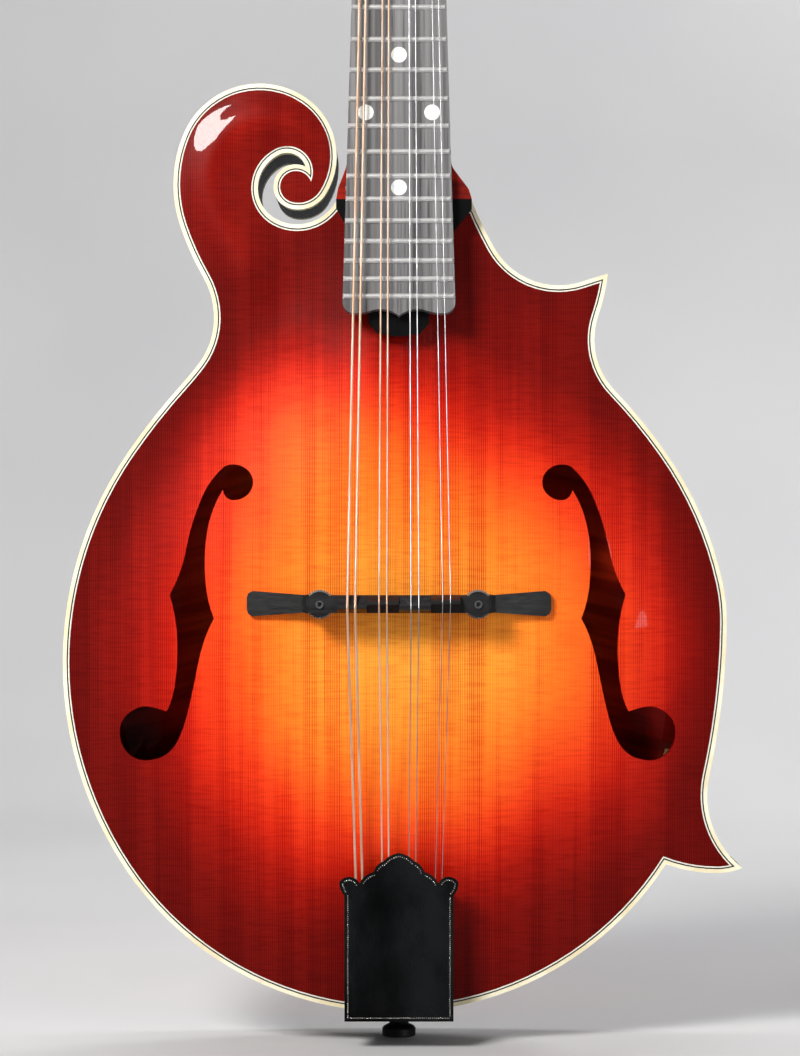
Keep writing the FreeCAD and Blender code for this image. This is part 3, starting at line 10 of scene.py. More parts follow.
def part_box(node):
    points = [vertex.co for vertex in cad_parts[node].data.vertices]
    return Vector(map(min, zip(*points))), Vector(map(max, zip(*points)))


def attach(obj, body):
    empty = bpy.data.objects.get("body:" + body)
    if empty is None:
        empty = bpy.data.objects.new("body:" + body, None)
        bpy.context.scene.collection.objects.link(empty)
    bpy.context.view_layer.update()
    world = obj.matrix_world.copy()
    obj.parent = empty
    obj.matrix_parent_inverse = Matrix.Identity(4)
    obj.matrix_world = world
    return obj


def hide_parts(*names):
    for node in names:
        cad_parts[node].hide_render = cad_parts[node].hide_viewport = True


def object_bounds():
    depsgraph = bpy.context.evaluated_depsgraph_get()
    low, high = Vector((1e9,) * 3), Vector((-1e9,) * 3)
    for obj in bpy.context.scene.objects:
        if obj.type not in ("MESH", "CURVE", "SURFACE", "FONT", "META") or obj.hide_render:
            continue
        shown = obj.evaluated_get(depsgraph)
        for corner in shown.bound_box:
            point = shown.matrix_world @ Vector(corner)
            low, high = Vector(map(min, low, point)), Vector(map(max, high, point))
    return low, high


# The looks of a sunburst mandolin. X runs to the treble side, Y to the back, Z up the neck. Metres.

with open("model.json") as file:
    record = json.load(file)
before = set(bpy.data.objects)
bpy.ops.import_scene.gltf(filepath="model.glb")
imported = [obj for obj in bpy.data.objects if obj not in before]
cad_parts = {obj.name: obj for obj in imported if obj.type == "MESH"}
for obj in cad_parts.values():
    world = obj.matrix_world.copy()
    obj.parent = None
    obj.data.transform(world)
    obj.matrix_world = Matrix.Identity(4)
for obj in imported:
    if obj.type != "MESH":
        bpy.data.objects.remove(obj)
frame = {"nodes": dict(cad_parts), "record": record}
CAD_LOW, CAD_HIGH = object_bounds()
NODES = frame["nodes"]
SLOT_OF = {part["node"]: part["material_slot"] for part in frame["record"]["subparts"]}
BRIDGE_TOP_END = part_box("bridge_base")[1].z + 0.02
COVER_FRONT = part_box("tailpiece_cover")[0].y
WELD_REACH = 0.000002


def colour(red, green, blue):
    """A display colour, 0 to 255, as the linear colour that a shader takes."""
    linear = []
    for value in (red, green, blue):
        share = value / 255
        linear.append(share / 12.92 if share <= 0.04045 else ((share + 0.055) / 1.055) ** 2.4)
    return (*linear, 1.0)


# Materials. Every pattern is made from the object's own coordinates, in metres.


INPUT_NAMES = {"coat_ior": "Coat IOR", "specular": "Specular IOR Level"}


class Finish:
    """A material, with short names for the nodes that it is made of."""

    def __init__(self, name):
        self.material = bpy.data.materials.new(name)
        self.material.use_nodes = True
        self.tree = self.material.node_tree
        self.surface = self.tree.nodes["Principled BSDF"]
        self.place = self.node("ShaderNodeTexCoord").outputs["Object"]
        split = self.node("ShaderNodeSeparateXYZ")
        self.feed(split.inputs[0], self.place)
        self.x, self.y, self.z = split.outputs

    def node(self, kind, **settings):
        made = self.tree.nodes.new(kind)
        for name, value in settings.items():
            setattr(made, name, value)
        return made

    def feed(self, socket, value):
        if isinstance(value, bpy.types.NodeSocket):
            self.tree.links.new(value, socket)
        else:
            socket.default_value = value

    def math(self, operation, first, second=0.0, clamp=False):
        made = self.node("ShaderNodeMath", operation=operation, use_clamp=clamp)
        self.feed(made.inputs[0], first)
        self.feed(made.inputs[1], second)
        return made.outputs[0]

    def fit(self, value, low, high, first=0.0, last=1.0, kind="SMOOTHSTEP"):
        """The value's place between low and high, carried to between first and last."""
        made = self.node("ShaderNodeMapRange", interpolation_type=kind)
        for index, item in enumerate((value, low, high, first, last)):
            self.feed(made.inputs[index], item)
        return made.outputs[0]

    def stretched(self, scale, place=None):
        made = self.node("ShaderNodeMapping")
        self.feed(made.inputs["Vector"], self.place if place is None else place)
        self.feed(made.inputs["Scale"], scale)
        return made.outputs[0]

    def noise(self, scale, detail=4.0, roughness=0.55, distortion=0.0):
        """Noise with its own number of features per metre along X, Y and Z."""
        made = self.node("ShaderNodeTexNoise")
        self.feed(made.inputs["Vector"], self.stretched(scale))
        self.feed(made.inputs["Scale"], 1.0)
        self.feed(made.inputs["Detail"], detail)
        self.feed(made.inputs["Roughness"], roughness)
        self.feed(made.inputs["Distortion"], distortion)
        return made.outputs[0]

    def bands(self, scale, distortion=0.0, detail=2.0, direction="X"):
        """Even stripes across one axis, bent a little by noise."""
        made = self.node("ShaderNodeTexWave", wave_type="BANDS", bands_direction=direction)
        self.feed(made.inputs["Vector"], self.stretched(scale))
        self.feed(made.inputs["Scale"], 1.0)
        self.feed(made.inputs["Distortion"], distortion)
        self.feed(made.inputs["Detail"], detail)
        return made.outputs[1]

    def attribute(self, name):
        return self.node("ShaderNodeAttribute", attribute_name=name).outputs["Fac"]

    def mix(self, factor, first, second, mode="MIX"):
        made = self.node("ShaderNodeMix", data_type="RGBA", blend_type=mode)
        self.feed(made.inputs[0], factor)
        self.feed(made.inputs[6], first)
        self.feed(made.inputs[7], second)
        return made.outputs[2]

    def ramp(self, value, stops):
        """A colour run. stops are (place, colour)."""
        made = self.node("ShaderNodeValToRGB")
        run = made.color_ramp
        run.elements[0].position, run.elements[0].color = stops[0]
        run.elements[1].position, run.elements[1].color = stops[-1]
        for position, shade in stops[1:-1]:
            run.elements.new(position).color = shade
        self.feed(made.inputs[0], value)
        return made.outputs[0]

    def bump(self, height, depth, strength=1.0):
        made = self.node("ShaderNodeBump")
        self.feed(made.inputs["Strength"], strength)
        self.feed(made.inputs["Distance"], depth)
        self.feed(made.inputs["Height"], height)
        return made.outputs[0]

    def finish(self, base, **inputs):
        """Sets the surface's inputs. A word such as coat_weight stands for the input Coat Weight."""
        self.feed(self.surface.inputs["Base Color"], base)
        for word, value in inputs.items():
            plain = word.replace("_", " ").title()
            self.feed(self.surface.inputs[INPUT_NAMES.get(word, plain)], value)
        return self.material


GLOSS = {"coat_weight": 1.0, "coat_roughness": 0.03, "coat_ior": 1.3, "specular": 0.06}

# The burst's colours from its middle out. The first number is the distance in metres.
BURST = (
    (0.000, colour(255, 172, 60)),
    (0.030, colour(254, 152, 48)),
    (0.048, colour(253, 126, 36)),
    (0.062, colour(249, 98, 28)),
    (0.074, colour(236, 64, 22)),
    (0.086, colour(206, 38, 14)),
    (0.098, colour(164, 22, 8)),
    (0.116, colour(122, 13, 6)),
    (0.150, colour(112, 12, 6)),
    (0.175, colour(150, 24, 12)),
)
BURST_REACH = BURST[-1][0]
BURST_STOPS = [(place / BURST_REACH, shade) for place, shade in BURST]
BURST_MIDDLE = (0.004, 0.154)
BURST_WIDTH = 1.04
# A painted sheen: the burst is made lighter in a soft spot on the upper shoulder, on the scroll's side.
SHEEN_MIDDLE = (-0.036, 0.240)
SHEEN_REACH = 0.040
SHEEN_LIFT = 0.030


def burst_distance(made, middle=BURST_MIDDLE):
    """How far out in the burst a point is, pulled in near a soft spot on the scroll's side of the upper
    shoulder so that the colour there is lighter, a painted sheen.
    """
    across = made.math("DIVIDE", made.math("SUBTRACT", made.x, middle[0]), BURST_WIDTH)
    along = made.math("SUBTRACT", made.z, middle[1])
    out = made.math("SQRT", made.math("ADD", made.math("POWER", made.math("ABSOLUTE", across), 2.0),
                                      made.math("POWER", made.math("ABSOLUTE", along), 2.0)))
    # Painted sheen: near the shoulder spot the distance is pulled in, which lightens the colour there.
    side = made.math("DIVIDE", made.math("SUBTRACT", made.x, SHEEN_MIDDLE[0]), SHEEN_REACH)
    rise = made.math("DIVIDE", made.math("SUBTRACT", made.z, SHEEN_MIDDLE[1]), SHEEN_REACH)
    spread = made.math("ADD", made.math("MULTIPLY", side, side), made.math("MULTIPLY", rise, rise))
    painted_sheen = made.math("MULTIPLY", made.math("EXPONENT", made.math("MULTIPLY", spread, -1.0)), SHEEN_LIFT)
    cloud = made.fit(made.noise((16, 16, 9), 2.0), 0.3, 0.7, -0.005, 0.005)
    return made.math("ADD", made.math("SUBTRACT", out, painted_sheen), cloud)


def spruce_grain(made):
    """Dark winter lines about a millimetre apart, in wider and narrower groups, and fine cross silk."""
    lines = made.bands((390, 0, 1.8), 3.4, 2.0)
    fine = made.noise((1500, 0, 9), 3.0, 0.6)
    groups = made.fit(made.noise((110, 0, 3), 3.0, 0.6), 0.38, 0.66)
    winter = made.fit(lines, 0.5, 0.0, 0.0, 1.0)
    line_depth = made.math("MULTIPLY", winter, made.fit(groups, 0.0, 1.0, 0.32, 0.9))
    speckle = made.fit(fine, 0.35, 0.7, 0.0, 0.16)
    silk = made.fit(made.noise((85, 0, 1100), 3.0, 0.62), 0.4, 0.66, -0.08, 0.2)
    broad = made.fit(groups, 0.0, 1.0, -0.03, 0.16)
    return made.math("ADD", made.math("ADD", line_depth, speckle), made.math("ADD", silk, broad))


def spruce_top():
    made = Finish("spruce_top")
    shade = made.ramp(made.math("DIVIDE", burst_distance(made), BURST_REACH), BURST_STOPS)
    edge = made.attribute("edge")
    rim_wander = made.fit(made.noise((30, 30, 30), 2.0), 0.3, 0.7, 0.85, 1.15)
    near_edge = made.fit(made.math("DIVIDE", edge, rim_wander), 0.002, 0.022, 0.62, 0.0)
    shade = made.mix(near_edge, shade, colour(100, 10, 6))
    grain = spruce_grain(made)
    amber = made.mix(1.0, shade, colour(196, 100, 76), "MULTIPLY")
    deeper = made.fit(burst_distance(made), 0.055, 0.11, 0.9, 1.7)
    shade = made.mix(made.math("MULTIPLY", grain, deeper, True), shade, amber)
    pores = made.bump(grain, 0.00002, 0.5)
    wave = made.noise((14, 14, 14), 1.0)
    polish = made.bump(wave, 0.00015, 0.25)
    made.feed(made.surface.inputs["Coat Normal"], polish)
    return made.finish(shade, roughness=0.42, normal=pores, **GLOSS)


def flame(made, scale, tilt=0.25):
    """Curly figure: soft light and dark bars that cross the grain."""
    sheared = made.node("ShaderNodeCombineXYZ")
    made.feed(sheared.inputs[0], made.x)
    made.feed(sheared.inputs[1], made.y)
    lean = made.math("MULTIPLY", made.math("ABSOLUTE", made.x), tilt)
    made.feed(sheared.inputs[2], made.math("ADD", made.z, lean))
    noise = made.node("ShaderNodeTexNoise")
    made.feed(noise.inputs["Vector"], made.stretched(scale, sheared.outputs[0]))
    made.feed(noise.inputs["Scale"], 1.0)
    made.feed(noise.inputs["Detail"], 3.0)
    return made.fit(noise.outputs[0], 0.36, 0.64)


def maple_back():
    made = Finish("maple_back")
    shade = made.ramp(made.math("DIVIDE", burst_distance(made, (0.0, 0.160)), BURST_REACH), BURST_STOPS)
    edge = made.attribute("edge")
    shade = made.mix(made.fit(edge, 0.003, 0.026, 0.7, 0.0), shade, colour(92, 9, 6))
    bars = flame(made, (18, 18, 190))
    dark = made.mix(1.0, shade, colour(176, 110, 96), "MULTIPLY")
    shade = made.mix(made.math("MULTIPLY", bars, 0.8), shade, dark)
    flecks = made.fit(made.noise((1600, 300, 60), 3.0), 0.55, 0.75, 0.0, 0.3)
    shade = made.mix(flecks, shade, dark)
    return made.finish(shade, roughness=made.fit(bars, 0.0, 1.0, 0.36, 0.5), **GLOSS)


def red_maple(name, light, dark, scale):
    made = Finish(name)
    bars = flame(made, scale, 0.0)
    shade = made.mix(bars, light, dark)
    pores = made.fit(made.noise((900, 900, 60), 3.0), 0.5, 0.75, 0.0, 0.35)
    shade = made.mix(pores, shade, made.mix(1.0, shade, colour(150, 110, 100), "MULTIPLY"))
    return made.finish(shade, roughness=made.fit(bars, 0.0, 1.0, 0.34, 0.46), **GLOSS)


SLOT_MIDDLE = (-0.040, 0.327)
SLOT_REACH = 0.0165


def maple_rim():
    """Dark red figured sides, painted black inside the scroll's slot."""
    made = Finish("maple_rim")
    bars = flame(made, (210, 18, 210), 0.0)
    shade = made.mix(bars, colour(118, 22, 10), colour(58, 8, 5))
    across = made.math("SUBTRACT", made.x, SLOT_MIDDLE[0])
    along = made.math("SUBTRACT", made.z, SLOT_MIDDLE[1])
    away = made.math("SQRT", made.math("ADD", made.math("MULTIPLY", across, across),
                                       made.math("MULTIPLY", along, along)))
    shade = made.mix(made.fit(away, SLOT_REACH, SLOT_REACH + 0.002, 1.0, 0.0), shade, colour(12, 11, 12))
    return made.finish(shade, roughness=made.fit(bars, 0.0, 1.0, 0.34, 0.46), **GLOSS)


def maple_neck():
    return red_maple("maple_neck", colour(150, 32, 16), colour(84, 12, 8), (20, 20, 200))


def bare_wood():
    made = Finish("bare_wood")
    rings = made.fit(made.noise((700, 200, 12), 4.0), 0.35, 0.65)
    shade = made.mix(rings, colour(222, 190, 146), colour(190, 150, 104))
    dust = made.fit(made.noise((60, 60, 60), 3.0), 0.4, 0.7, 0.0, 0.3)
    shade = made.mix(dust, shade, colour(166, 128, 90))
    return made.finish(shade, roughness=0.8, normal=made.bump(rings, 0.00005, 0.6), specular=0.3)


def ebony():
    """Close black wood, painted a lighter grey on the fingerboard for the sheen that light gives it, with
    fine pores that run up the neck or along the bridge.
    """
    made = Finish("ebony")
    on_bridge = made.math("LESS_THAN", made.z, BRIDGE_TOP_END)
    upright = made.noise((900, 60, 14), 5.0, 0.62)
    level = made.noise((14, 900, 900), 5.0, 0.62)
    pores = made.mix(on_bridge, upright, level)
    streaks = made.mix(on_bridge, made.noise((260, 20, 3), 3.0), made.noise((3, 260, 260), 3.0))
    # The fingerboard's lighter grey is a painted sheen; the bridge stays near black.
    grey = made.mix(on_bridge, colour(122, 121, 122), colour(22, 22, 23))
    black = made.mix(on_bridge, colour(70, 69, 70), colour(9, 9, 10))
    shade = made.mix(made.fit(streaks, 0.35, 0.65), grey, black)
    shade = made.mix(made.fit(pores, 0.52, 0.72, 0.0, 0.8), shade, colour(20, 19, 19))
    return made.finish(shade, roughness=made.fit(pores, 0.3, 0.7, 0.36, 0.55),
                       normal=made.bump(pores, 0.00006, 0.5), specular=0.45)


def black_lacquer():
    made = Finish("black_lacquer")
    haze = made.noise((40, 40, 40), 3.0)
    shade = made.mix(made.fit(haze, 0.35, 0.7), colour(8, 8, 8), colour(15, 14, 14))
    return made.finish(shade, roughness=0.3, coat_weight=1.0, coat_ior=1.35, specular=0.1,
                       coat_roughness=made.fit(haze, 0.3, 0.7, 0.02, 0.07))


def ivory_plastic():
    made = Finish("ivory_plastic")
    cloud = made.fit(made.noise((60, 60, 60), 3.0), 0.35, 0.65)
    shade = made.mix(cloud, colour(246, 240, 214), colour(232, 220, 182))
    scrape = made.noise((500, 500, 500), 3.0)
    return made.finish(shade, roughness=made.fit(scrape, 0.3, 0.7, 0.24, 0.36), coat_weight=0.7,
                       coat_roughness=0.05, subsurface_weight=0.1, subsurface_scale=0.001)


def fibre(name, light, dark):
    made = Finish(name)
    fleck = made.fit(made.noise((1200, 1200, 1200), 3.0), 0.35, 0.65)
    return made.finish(made.mix(fleck, light, dark), roughness=0.4, coat_weight=0.8, coat_roughness=0.05)


def black_fibre():
    return fibre("black_fibre", colour(12, 12, 12), colour(6, 6, 6))


def white_fibre():
    return fibre("white_fibre", colour(238, 236, 226), colour(220, 216, 202))


def bone():
    made = Finish("bone")
    grain = made.noise((200, 900, 900), 4.0)
    shade = made.mix(made.fit(grain, 0.4, 0.7), colour(238, 229, 204), colour(216, 200, 166))
    return made.finish(shade, roughness=0.32, subsurface_weight=0.12, subsurface_scale=0.001, coat_weight=0.3)


def pearl():
    """Layers that turn the light: pale blue, rose and green clouds under a polished face."""
    made = Finish("pearl")
    layers = made.noise((260, 260, 420), 3.0, 0.5, 2.5)
    shade = made.ramp(layers, ((0.30, colour(206, 220, 236)), (0.45, colour(246, 246, 246)),
                               (0.56, colour(232, 240, 226)), (0.72, colour(244, 226, 236))))
    glance = made.node("ShaderNodeLayerWeight")
    made.feed(glance.inputs[0], 0.4)
    shade = made.mix(made.math("MULTIPLY", glance.outputs[1], 0.6), shade, colour(190, 214, 226))
    return made.finish(shade, roughness=0.22, coat_weight=0.8, normal=made.bump(layers, 0.00004, 0.4))


def metal(name, light, dark, rough, smear=(400, 400, 400), metallic=1.0):
    made = Finish(name)
    wear = made.noise(smear, 4.0, 0.6)
    shade = made.mix(made.fit(wear, 0.35, 0.68), light, dark)
    return made.finish(shade, metallic=metallic, roughness=made.fit(wear, 0.3, 0.7, rough, rough + 0.14))


def fret_wire():
    return metal("fret_wire", colour(240, 240, 240), colour(214, 213, 212), 0.24, (60, 900, 900), 0.6)


def steel_wire():
    return metal("steel_wire", colour(226, 226, 230), colour(196, 196, 202), 0.34, (900, 900, 30), 0.85)


def bronze_wire():
    """A round winding about a third of a millimetre wide, laid side by side up the string."""
    made = Finish("bronze_wire")
    turns = made.bands((0, 0, 950), 0.0, 0.0, "Z")
    tarnish = made.fit(made.noise((120, 120, 40), 3.0), 0.4, 0.7)
    shade = made.mix(tarnish, colour(250, 222, 200), colour(226, 184, 150))
    # Painted shade: the grooves between the turns are darker.
    shade = made.mix(made.fit(turns, 0.25, 0.0, 0.0, 0.5), shade, colour(140, 96, 66))
    return made.finish(shade, metallic=0.5, roughness=0.32, normal=made.bump(turns, 0.00006, 0.6))


def nickel():
    return metal("nickel", colour(224, 222, 216), colour(184, 180, 172), 0.2, (400, 400, 400), 0.85)


def black_nickel():
    """Dark plating with a wiped, slightly cloudy polish."""
    made = Finish("black_nickel")
    wipe = made.noise((34, 34, 20), 5.0, 0.6)
    scratch = made.noise((2400, 2400, 90), 2.0)
    shade = made.mix(made.fit(wipe, 0.36, 0.66), colour(9, 10, 11), colour(46, 48, 50))
    rough = made.math("ADD", made.fit(wipe, 0.3, 0.7, 0.16, 0.3), made.fit(scratch, 0.6, 0.8, 0.0, 0.1))
    return made.finish(shade, metallic=0.8, roughness=rough, coat_weight=1.0, coat_roughness=0.03)


def tuner_metal():
    """Nickel shafts and gears, with cream buttons at the shafts' outer ends."""
    made = Finish("tuner_metal")
    button_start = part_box("tuner_plate_treble")[1].x + 0.004
    on_button = made.math("GREATER_THAN", made.math("ABSOLUTE", made.x), button_start)
    wear = made.noise((500, 500, 500), 3.0)
    plated = made.mix(made.fit(wear, 0.35, 0.68), colour(220, 214, 198), colour(182, 172, 148))
    pearly = made.mix(made.fit(made.noise((180, 180, 240), 3.0, 0.5, 2.0), 0.35, 0.65),
                      colour(242, 238, 224), colour(224, 216, 194))
    return made.finish(made.mix(on_button, plated, pearly), metallic=made.math("SUBTRACT", 1.0, on_button),
                       roughness=made.fit(wear, 0.3, 0.7, 0.2, 0.3), coat_weight=0.3)


def rod_steel():
    return metal("rod_steel", colour(150, 150, 152), colour(112, 110, 108), 0.34, (900, 900, 40))


FINISHES = {maker.__name__: maker() for maker in (
    spruce_top, maple_back, maple_rim, maple_neck, bare_wood, ebony, black_lacquer, ivory_plastic,
    black_fibre, white_fibre, bone, pearl, fret_wire, steel_wire, bronze_wire, nickel, black_nickel,
    tuner_metal, rod_steel)}


# The CAD pieces keep their shape. They get their finish and smooth shading over shallow edges.

SMOOTH_ANGLE = math.radians(32)


def dress(name, finish=None):
    piece = NODES[name]
    mesh = piece.data
    mesh.materials.clear()
    mesh.materials.append(FINISHES[finish or SLOT_OF[name]])
    if "custom_normal" in mesh.attributes:
        mesh.attributes.remove(mesh.attributes["custom_normal"])
    mesh.shade_smooth()
    weld = piece.modifiers.new("weld", "WELD")
    weld.merge_threshold = WELD_REACH
    split = piece.modifiers.new("edges", "EDGE_SPLIT")
    split.split_angle = SMOOTH_ANGLE
    split.use_edge_sharp = False


for node_name in NODES:
    dress(node_name, {"bridge_posts": "rod_steel"}.get(node_name))


# The carved plates, rebuilt on a finer mesh whose surface is smoothed over the CAD's own.

GRID = 0.002
BLUR_CELLS = 1.6
EDGE_LENGTH = 0.004
FACING = 0.6


class Surface:
    """A plate's outer height on a grid, read from the CAD mesh, filled past its edges and smoothed."""

    def __init__(self, name, side):
        self.side = side
        mesh = NODES[name].data
        tree = BVHTree.FromPolygons([v.co for v in mesh.vertices], [p.vertices[:] for p in mesh.polygons])
        low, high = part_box(name)
        margin = 8 * GRID
        self.left = low.x - margin
        self.foot = low.z - margin
        columns = int((high.x - low.x + 2 * margin) / GRID) + 2
        rows = int((high.z - low.z + 2 * margin) / GRID) + 2
        heights = np.full((columns, rows), np.nan)
        for column in range(columns):
            for row in range(rows):
                start = Vector((self.left + column * GRID, side * 0.3, self.foot + row * GRID))
                place, normal, _, _ = tree.ray_cast(start, Vector((0, -side, 0)))
                if place is not None and normal.y * side > FACING:
                    heights[column, row] = place.y
        self.heights = self.smoothed(self.filled(heights))
        self.slope_x, self.slope_z = np.gradient(self.heights, GRID)

    def filled(self, heights):
        """Carries the known heights outwards, one ring of cells at a time."""
        known = ~np.isnan(heights)
        values = np.where(known, heights, 0.0)
        while not known.all():
            total = np.zeros_like(values)
            count = np.zeros_like(values)
            for axis in (0, 1):
                for step in (-1, 1):
                    total += np.roll(values * known, step, axis)
                    count += np.roll(known, step, axis)
            fresh = ~known & (count > 0)
            values[fresh] = total[fresh] / count[fresh]
            known = known | fresh
        return values

    def smoothed(self, values):
        reach = int(3 * BLUR_CELLS)
        offsets = np.arange(-reach, reach + 1)
        weights = np.exp(-(offsets / BLUR_CELLS) ** 2 / 2)
        weights /= weights.sum()
        for axis in (0, 1):
            padded = np.pad(values, [(reach, reach) if a == axis else (0, 0) for a in (0, 1)], mode="edge")
            values = np.apply_along_axis(lambda line: np.convolve(line, weights, mode="valid"), axis, padded)
        return values

    def read(self, grid, x, z):
        """The grid's value between its cells."""
        across = min(max((x - self.left) / GRID, 0.0), grid.shape[0] - 1.001)
        along = min(max((z - self.foot) / GRID, 0.0), grid.shape[1] - 1.001)
        column, row = int(across), int(along)
        s, t = across - column, along - row
        low = grid[column, row] * (1 - s) + grid[column + 1, row] * s
        high = grid[column, row + 1] * (1 - s) + grid[column + 1, row + 1] * s
        return low * (1 - t) + high * t

    def height(self, x, z):
        return self.read(self.heights, x, z)

    def normal(self, x, z):
        slope = Vector((-self.read(self.slope_x, x, z), 1.0, -self.read(self.slope_z, x, z)))
        return (slope * self.side).normalized()


def finer(mesh, keep_whole):
    """Splits long edges of the outer faces until none is longer than EDGE_LENGTH."""
    work = bmesh.new()
    work.from_mesh(mesh)
    bmesh.ops.remove_doubles(work, verts=work.verts, dist=WELD_REACH)
    for _ in range(8):
        faces = [f for f in work.faces if not keep_whole(f)]
        edges = {e for f in faces for e in f.edges if e.calc_length() > EDGE_LENGTH}
        if not edges:
            break
        longest = sorted(edges, key=lambda e: -e.calc_length())
        bmesh.ops.subdivide_edges(work, edges=longest, cuts=1, use_grid_fill=False)
        bmesh.ops.triangulate(work, faces=[f for f in work.faces if len(f.verts) > 3])
        bmesh.ops.beautify_fill(work, faces=[f for f in work.faces if not keep_whole(f)],
                                edges=[e for e in work.edges if all(not keep_whole(f) for f in e.link_faces)],
                                method="ANGLE")
    return work


def rebuild_plate(name, side, edging):
    surface = Surface(name, side)
    work = finer(NODES[name].data, lambda face: face.normal.y * side < FACING)
    rim = NODES[edging].data
    rim_tree = BVHTree.FromPolygons([v.co for v in rim.vertices], [p.vertices[:] for p in rim.polygons])
    rim_low, rim_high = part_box(edging)
    rim_level = rim_low.y if side < 0 else rim_high.y
    for vert in work.verts:
        outer = any(face.normal.y * side > FACING for face in vert.link_faces)
        wanted = surface.height(vert.co.x, vert.co.z)
        if outer and abs(vert.co.y - wanted) < 0.0004:
            vert.co.y = wanted
    work.normal_update()
    mesh = bpy.data.meshes.new(name + "_smooth")
    work.to_mesh(mesh)
    work.free()
    mesh.shade_smooth()
    distances = mesh.attributes.new("edge", "FLOAT", "POINT")
    for vert, item in zip(mesh.vertices, distances.data):
        item.value = rim_tree.find_nearest(Vector((vert.co.x, rim_level, vert.co.z)))[3]
    normals = [Vector((0, 0, 0))] * len(mesh.loops)
    for face in mesh.polygons:
        for loop in face.loop_indices:
            place = mesh.vertices[mesh.loops[loop].vertex_index].co
            if face.normal.y * side > FACING:
                normals[loop] = surface.normal(place.x, place.z)
            else:
                normals[loop] = face.normal.copy()
    mesh.normals_split_custom_set(normals)
    piece = bpy.data.objects.new(name + "_smooth", mesh)
    bpy.context.scene.collection.objects.link(piece)
    mesh.materials.append(FINISHES[SLOT_OF[name]])
    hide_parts(name)
    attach(piece, "root")


rebuild_plate("top_plate", -1, "top_binding")
rebuild_plate("back_plate", 1, "back_binding")


# A row of small raised beads just inside the tailpiece cover's outline.

BEAD_INSET = 0.0013
BEAD_PITCH = 0.00078
BEAD_RADIUS = 0.00026
BEAD_SIDES = 8


def cover_outline():
    """The edge of the cover's front face as points (x, z), with the metal on the left."""
    mesh = NODES["tailpiece_cover"].data
    following = {}
    for face in mesh.polygons:
        if face.normal.y < -0.95 and abs(face.center.y - COVER_FRONT) < 0.0001:
            places = [mesh.vertices[v].co for v in face.vertices]
            corners = [(round(place.x, 6), round(place.z, 6)) for place in places]
            for start, end in zip(corners, corners[1:] + corners[:1]):
                following.setdefault(start, set()).add(end)
    ahead = {start: end for start, ends in following.items() for end in ends if start not in following[end]}
    outline = [next(iter(ahead))]
    while len(outline) < len(ahead) and ahead.get(outline[-1], outline[0]) != outline[0]:
        outline.append(ahead[outline[-1]])
    return [Vector(point) for point in outline]


def gap_to_span(place, start, end):
    """How far a point is from a straight span of the outline."""
    foot, share = geometry.intersect_point_line(place, start, end)
    return (foot - place).length if 0 < share < 1 else (start - place).length


def bead_places():
    outline = cover_outline()
    spans = list(zip(outline, outline[1:] + outline[:1]))
    places = []
    for start, end in spans:
        along = end - start
        inward = Vector((-along.y, along.x)).normalized() * BEAD_INSET
        count = max(int(along.length / (BEAD_PITCH / 4)), 1)
        for step in range(count):
            place = start + along * step / count + inward
            gap = min(gap_to_span(place, a, b) for a, b in spans)
            clear = all((place - other).length > BEAD_PITCH * 0.97 for other in places)
            if gap > BEAD_INSET * 0.97 and clear:
                places.append(place)
    return places


def bead_ring(work, place, reach, rise):
    """A ring of a bead's points. reach and rise are shares of the bead's radius."""
    ring = []
    for k in range(BEAD_SIDES):
        angle = 2 * math.pi * k / BEAD_SIDES
        ring.append(work.verts.new((place.x + BEAD_RADIUS * reach * math.cos(angle),
                                    COVER_FRONT - BEAD_RADIUS * rise,
                                    place.y + BEAD_RADIUS * reach * math.sin(angle))))
    return ring


def cover_beads():
    """Domes whose rims sit just under the cover's face."""
    work = bmesh.new()
    for place in bead_places():
        rings = [bead_ring(work, place, 1.0, -0.1), bead_ring(work, place, 0.75, 0.45)]
        tip = work.verts.new((place.x, COVER_FRONT - BEAD_RADIUS * 0.75, place.y))
        for k in range(BEAD_SIDES):
            after = (k + 1) % BEAD_SIDES
            work.faces.new((rings[0][k], rings[0][after], rings[1][after], rings[1][k]))
            work.faces.new((rings[1][k], rings[1][after], tip))
    mesh = bpy.data.meshes.new("cover_beads")
    work.to_mesh(mesh)
    work.free()
    mesh.shade_smooth()
    mesh.materials.append(FINISHES["nickel"])
    piece = bpy.data.objects.new("cover_beads", mesh)
    bpy.context.scene.collection.objects.link(piece)
    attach(piece, "tail_cover")


cover_beads()


# Studio: a pale sweep, soft lights and a long lens, square on to the top.

FLOOR_GAP = 0.0003
FLOOR_REACH = 6.0
CURVE_START = 0.9
CURVE_RADIUS = 0.5
CURVE_STEPS = 16
WALL_HEIGHT = 4.0


def sweep_paper():
    """Pale paper that glows a little far out where no lamp reaches, a painted light, and clear from behind.
    """
    made = Finish("paper")
    tone = made.fit(made.noise((3, 3, 3), 2.0), 0.3, 0.7)
    away = made.math("SQRT", made.math("ADD", made.math("MULTIPLY", made.x, made.x),
                                       made.math("MULTIPLY", made.y, made.y)))
    # The emission far out is painted light: the paper glows where no lamp reaches.
    made.finish(made.mix(tone, colour(206, 206, 207), colour(200, 200, 202)), roughness=0.9,
                emission_color=colour(206, 207, 208), emission_strength=made.fit(away, 2.2, 4.5, 0.0, 0.8))
    see_through = made.node("ShaderNodeMixShader")
    made.feed(see_through.inputs[0], made.node("ShaderNodeNewGeometry").outputs["Backfacing"])
    made.feed(see_through.inputs[1], made.surface.outputs[0])
    made.feed(see_through.inputs[2], made.node("ShaderNodeBsdfTransparent").outputs[0])
    made.feed(made.tree.nodes["Material Output"].inputs[0], see_through.outputs[0])
    return made.material


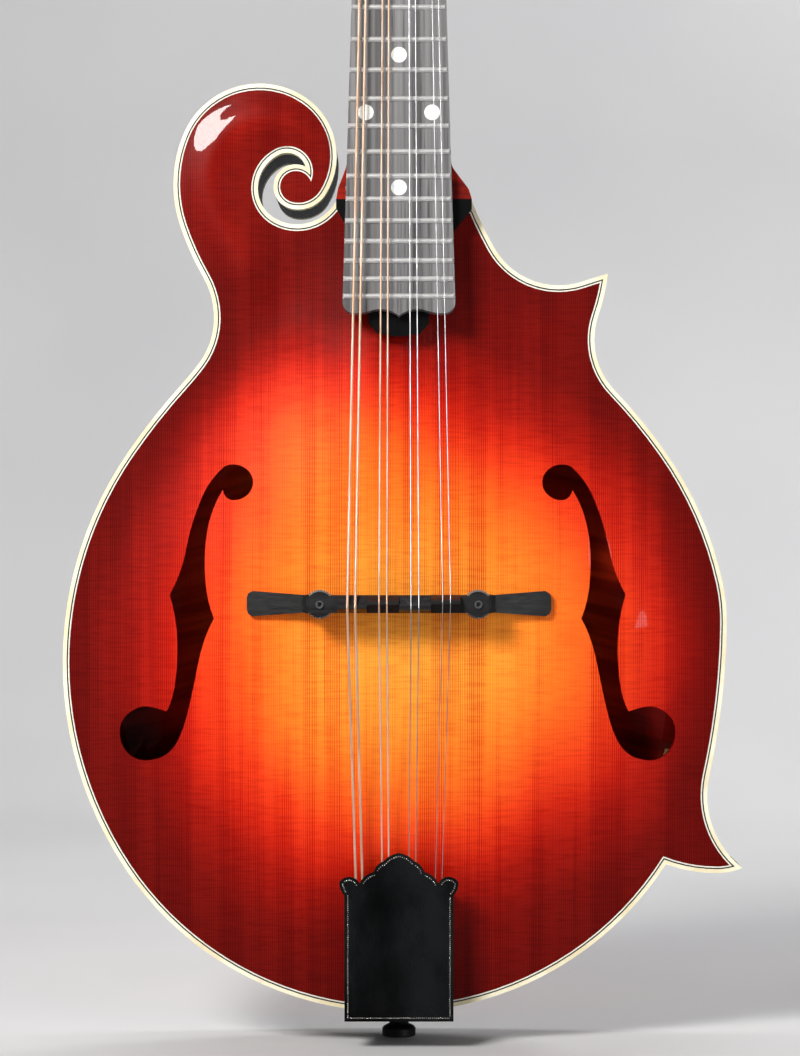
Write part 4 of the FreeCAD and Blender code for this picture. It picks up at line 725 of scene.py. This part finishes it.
def stage_sweep():
    """A floor under the end pin that curves up into a backdrop."""
    floor = CAD_LOW.z - FLOOR_GAP
    profile = [(-FLOOR_REACH, floor), (CURVE_START, floor)]
    for step in range(1, CURVE_STEPS + 1):
        angle = math.pi / 2 * step / CURVE_STEPS
        profile.append((CURVE_START + CURVE_RADIUS * math.sin(angle),
                        floor + CURVE_RADIUS * (1 - math.cos(angle))))
    profile.append((CURVE_START + CURVE_RADIUS, floor + WALL_HEIGHT))
    work = bmesh.new()
    rows = [[work.verts.new((x, y, z)) for y, z in profile] for x in (-FLOOR_REACH, FLOOR_REACH)]
    for index in range(len(profile) - 1):
        work.faces.new((rows[0][index], rows[1][index], rows[1][index + 1], rows[0][index + 1]))
    work.normal_update()
    mesh = bpy.data.meshes.new("sweep")
    work.to_mesh(mesh)
    work.free()
    mesh.shade_smooth()
    sweep = bpy.data.objects.new("sweep", mesh)
    bpy.context.scene.collection.objects.link(sweep)
    mesh.materials.append(sweep_paper())
    sweep.visible_glossy = False


def softbox(name, place, target, width, height, power, tint=(1.0, 1.0, 1.0)):
    data = bpy.data.lights.new(name, "AREA")
    data.shape = "RECTANGLE"
    data.size = width
    data.size_y = height
    data.energy = power
    data.color = tint
    lamp = bpy.data.objects.new(name, data)
    bpy.context.scene.collection.objects.link(lamp)
    lamp.location = place
    lamp.rotation_euler = (Vector(target) - Vector(place)).to_track_quat("-Z", "Y").to_euler()
    return lamp


def surroundings():
    """Dim for everything but the camera, which sees a pale room past the sweep's ends."""
    world = bpy.data.worlds.new("studio")
    bpy.context.scene.world = world
    world.use_nodes = True
    tree = world.node_tree
    dim = tree.nodes["Background"]
    dim.inputs[0].default_value = colour(178, 180, 184)
    dim.inputs[1].default_value = 0.12
    pale = tree.nodes.new("ShaderNodeBackground")
    pale.inputs[0].default_value = colour(206, 207, 208)
    choice = tree.nodes.new("ShaderNodeMixShader")
    tree.links.new(tree.nodes.new("ShaderNodeLightPath").outputs["Is Camera Ray"], choice.inputs[0])
    tree.links.new(dim.outputs[0], choice.inputs[1])
    tree.links.new(pale.outputs[0], choice.inputs[2])
    tree.links.new(choice.outputs[0], tree.nodes["World Output"].inputs[0])


def studio():
    middle = (0.0, 0.0, 0.18)
    softbox("key", (-0.62, -1.00, 0.88), middle, 0.44, 0.36, 23, (1.0, 0.98, 0.95))
    softbox("fill", (1.3, -1.6, 0.55), middle, 0.9, 0.9, 10, (0.98, 0.98, 1.0))
    softbox("sweep_light", (0.0, 0.5, 2.2), (0.0, 1.5, 0.2), 3.0, 0.6, 20)
    softbox("back_key", (0.75, 1.15, 1.05), middle, 0.5, 0.4, 8)
    surroundings()
    bpy.context.scene.view_settings.view_transform = "Standard"


CAMERA_DISTANCE = 1.3
FRAME_WIDTH = 0.306
FRAME_FOOT = -0.005
FRAME_TALL = FRAME_WIDTH * 1056 / 800


def camera():
    """Square on to the top. The frame is as wide as FRAME_WIDTH at the body's edge."""
    data = bpy.data.cameras.new("camera")
    data.sensor_fit = "HORIZONTAL"
    data.sensor_width = 36.0
    data.lens = 36.0 * CAMERA_DISTANCE / FRAME_WIDTH
    made = bpy.data.objects.new("camera", data)
    bpy.context.scene.collection.objects.link(made)
    edge_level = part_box("top_binding")[0].y
    made.location = (0.0004, edge_level - CAMERA_DISTANCE, FRAME_FOOT + FRAME_TALL / 2)
    made.rotation_euler = (math.pi / 2, 0.0, 0.0)
    bpy.context.scene.camera = made


stage_sweep()
studio()
camera()
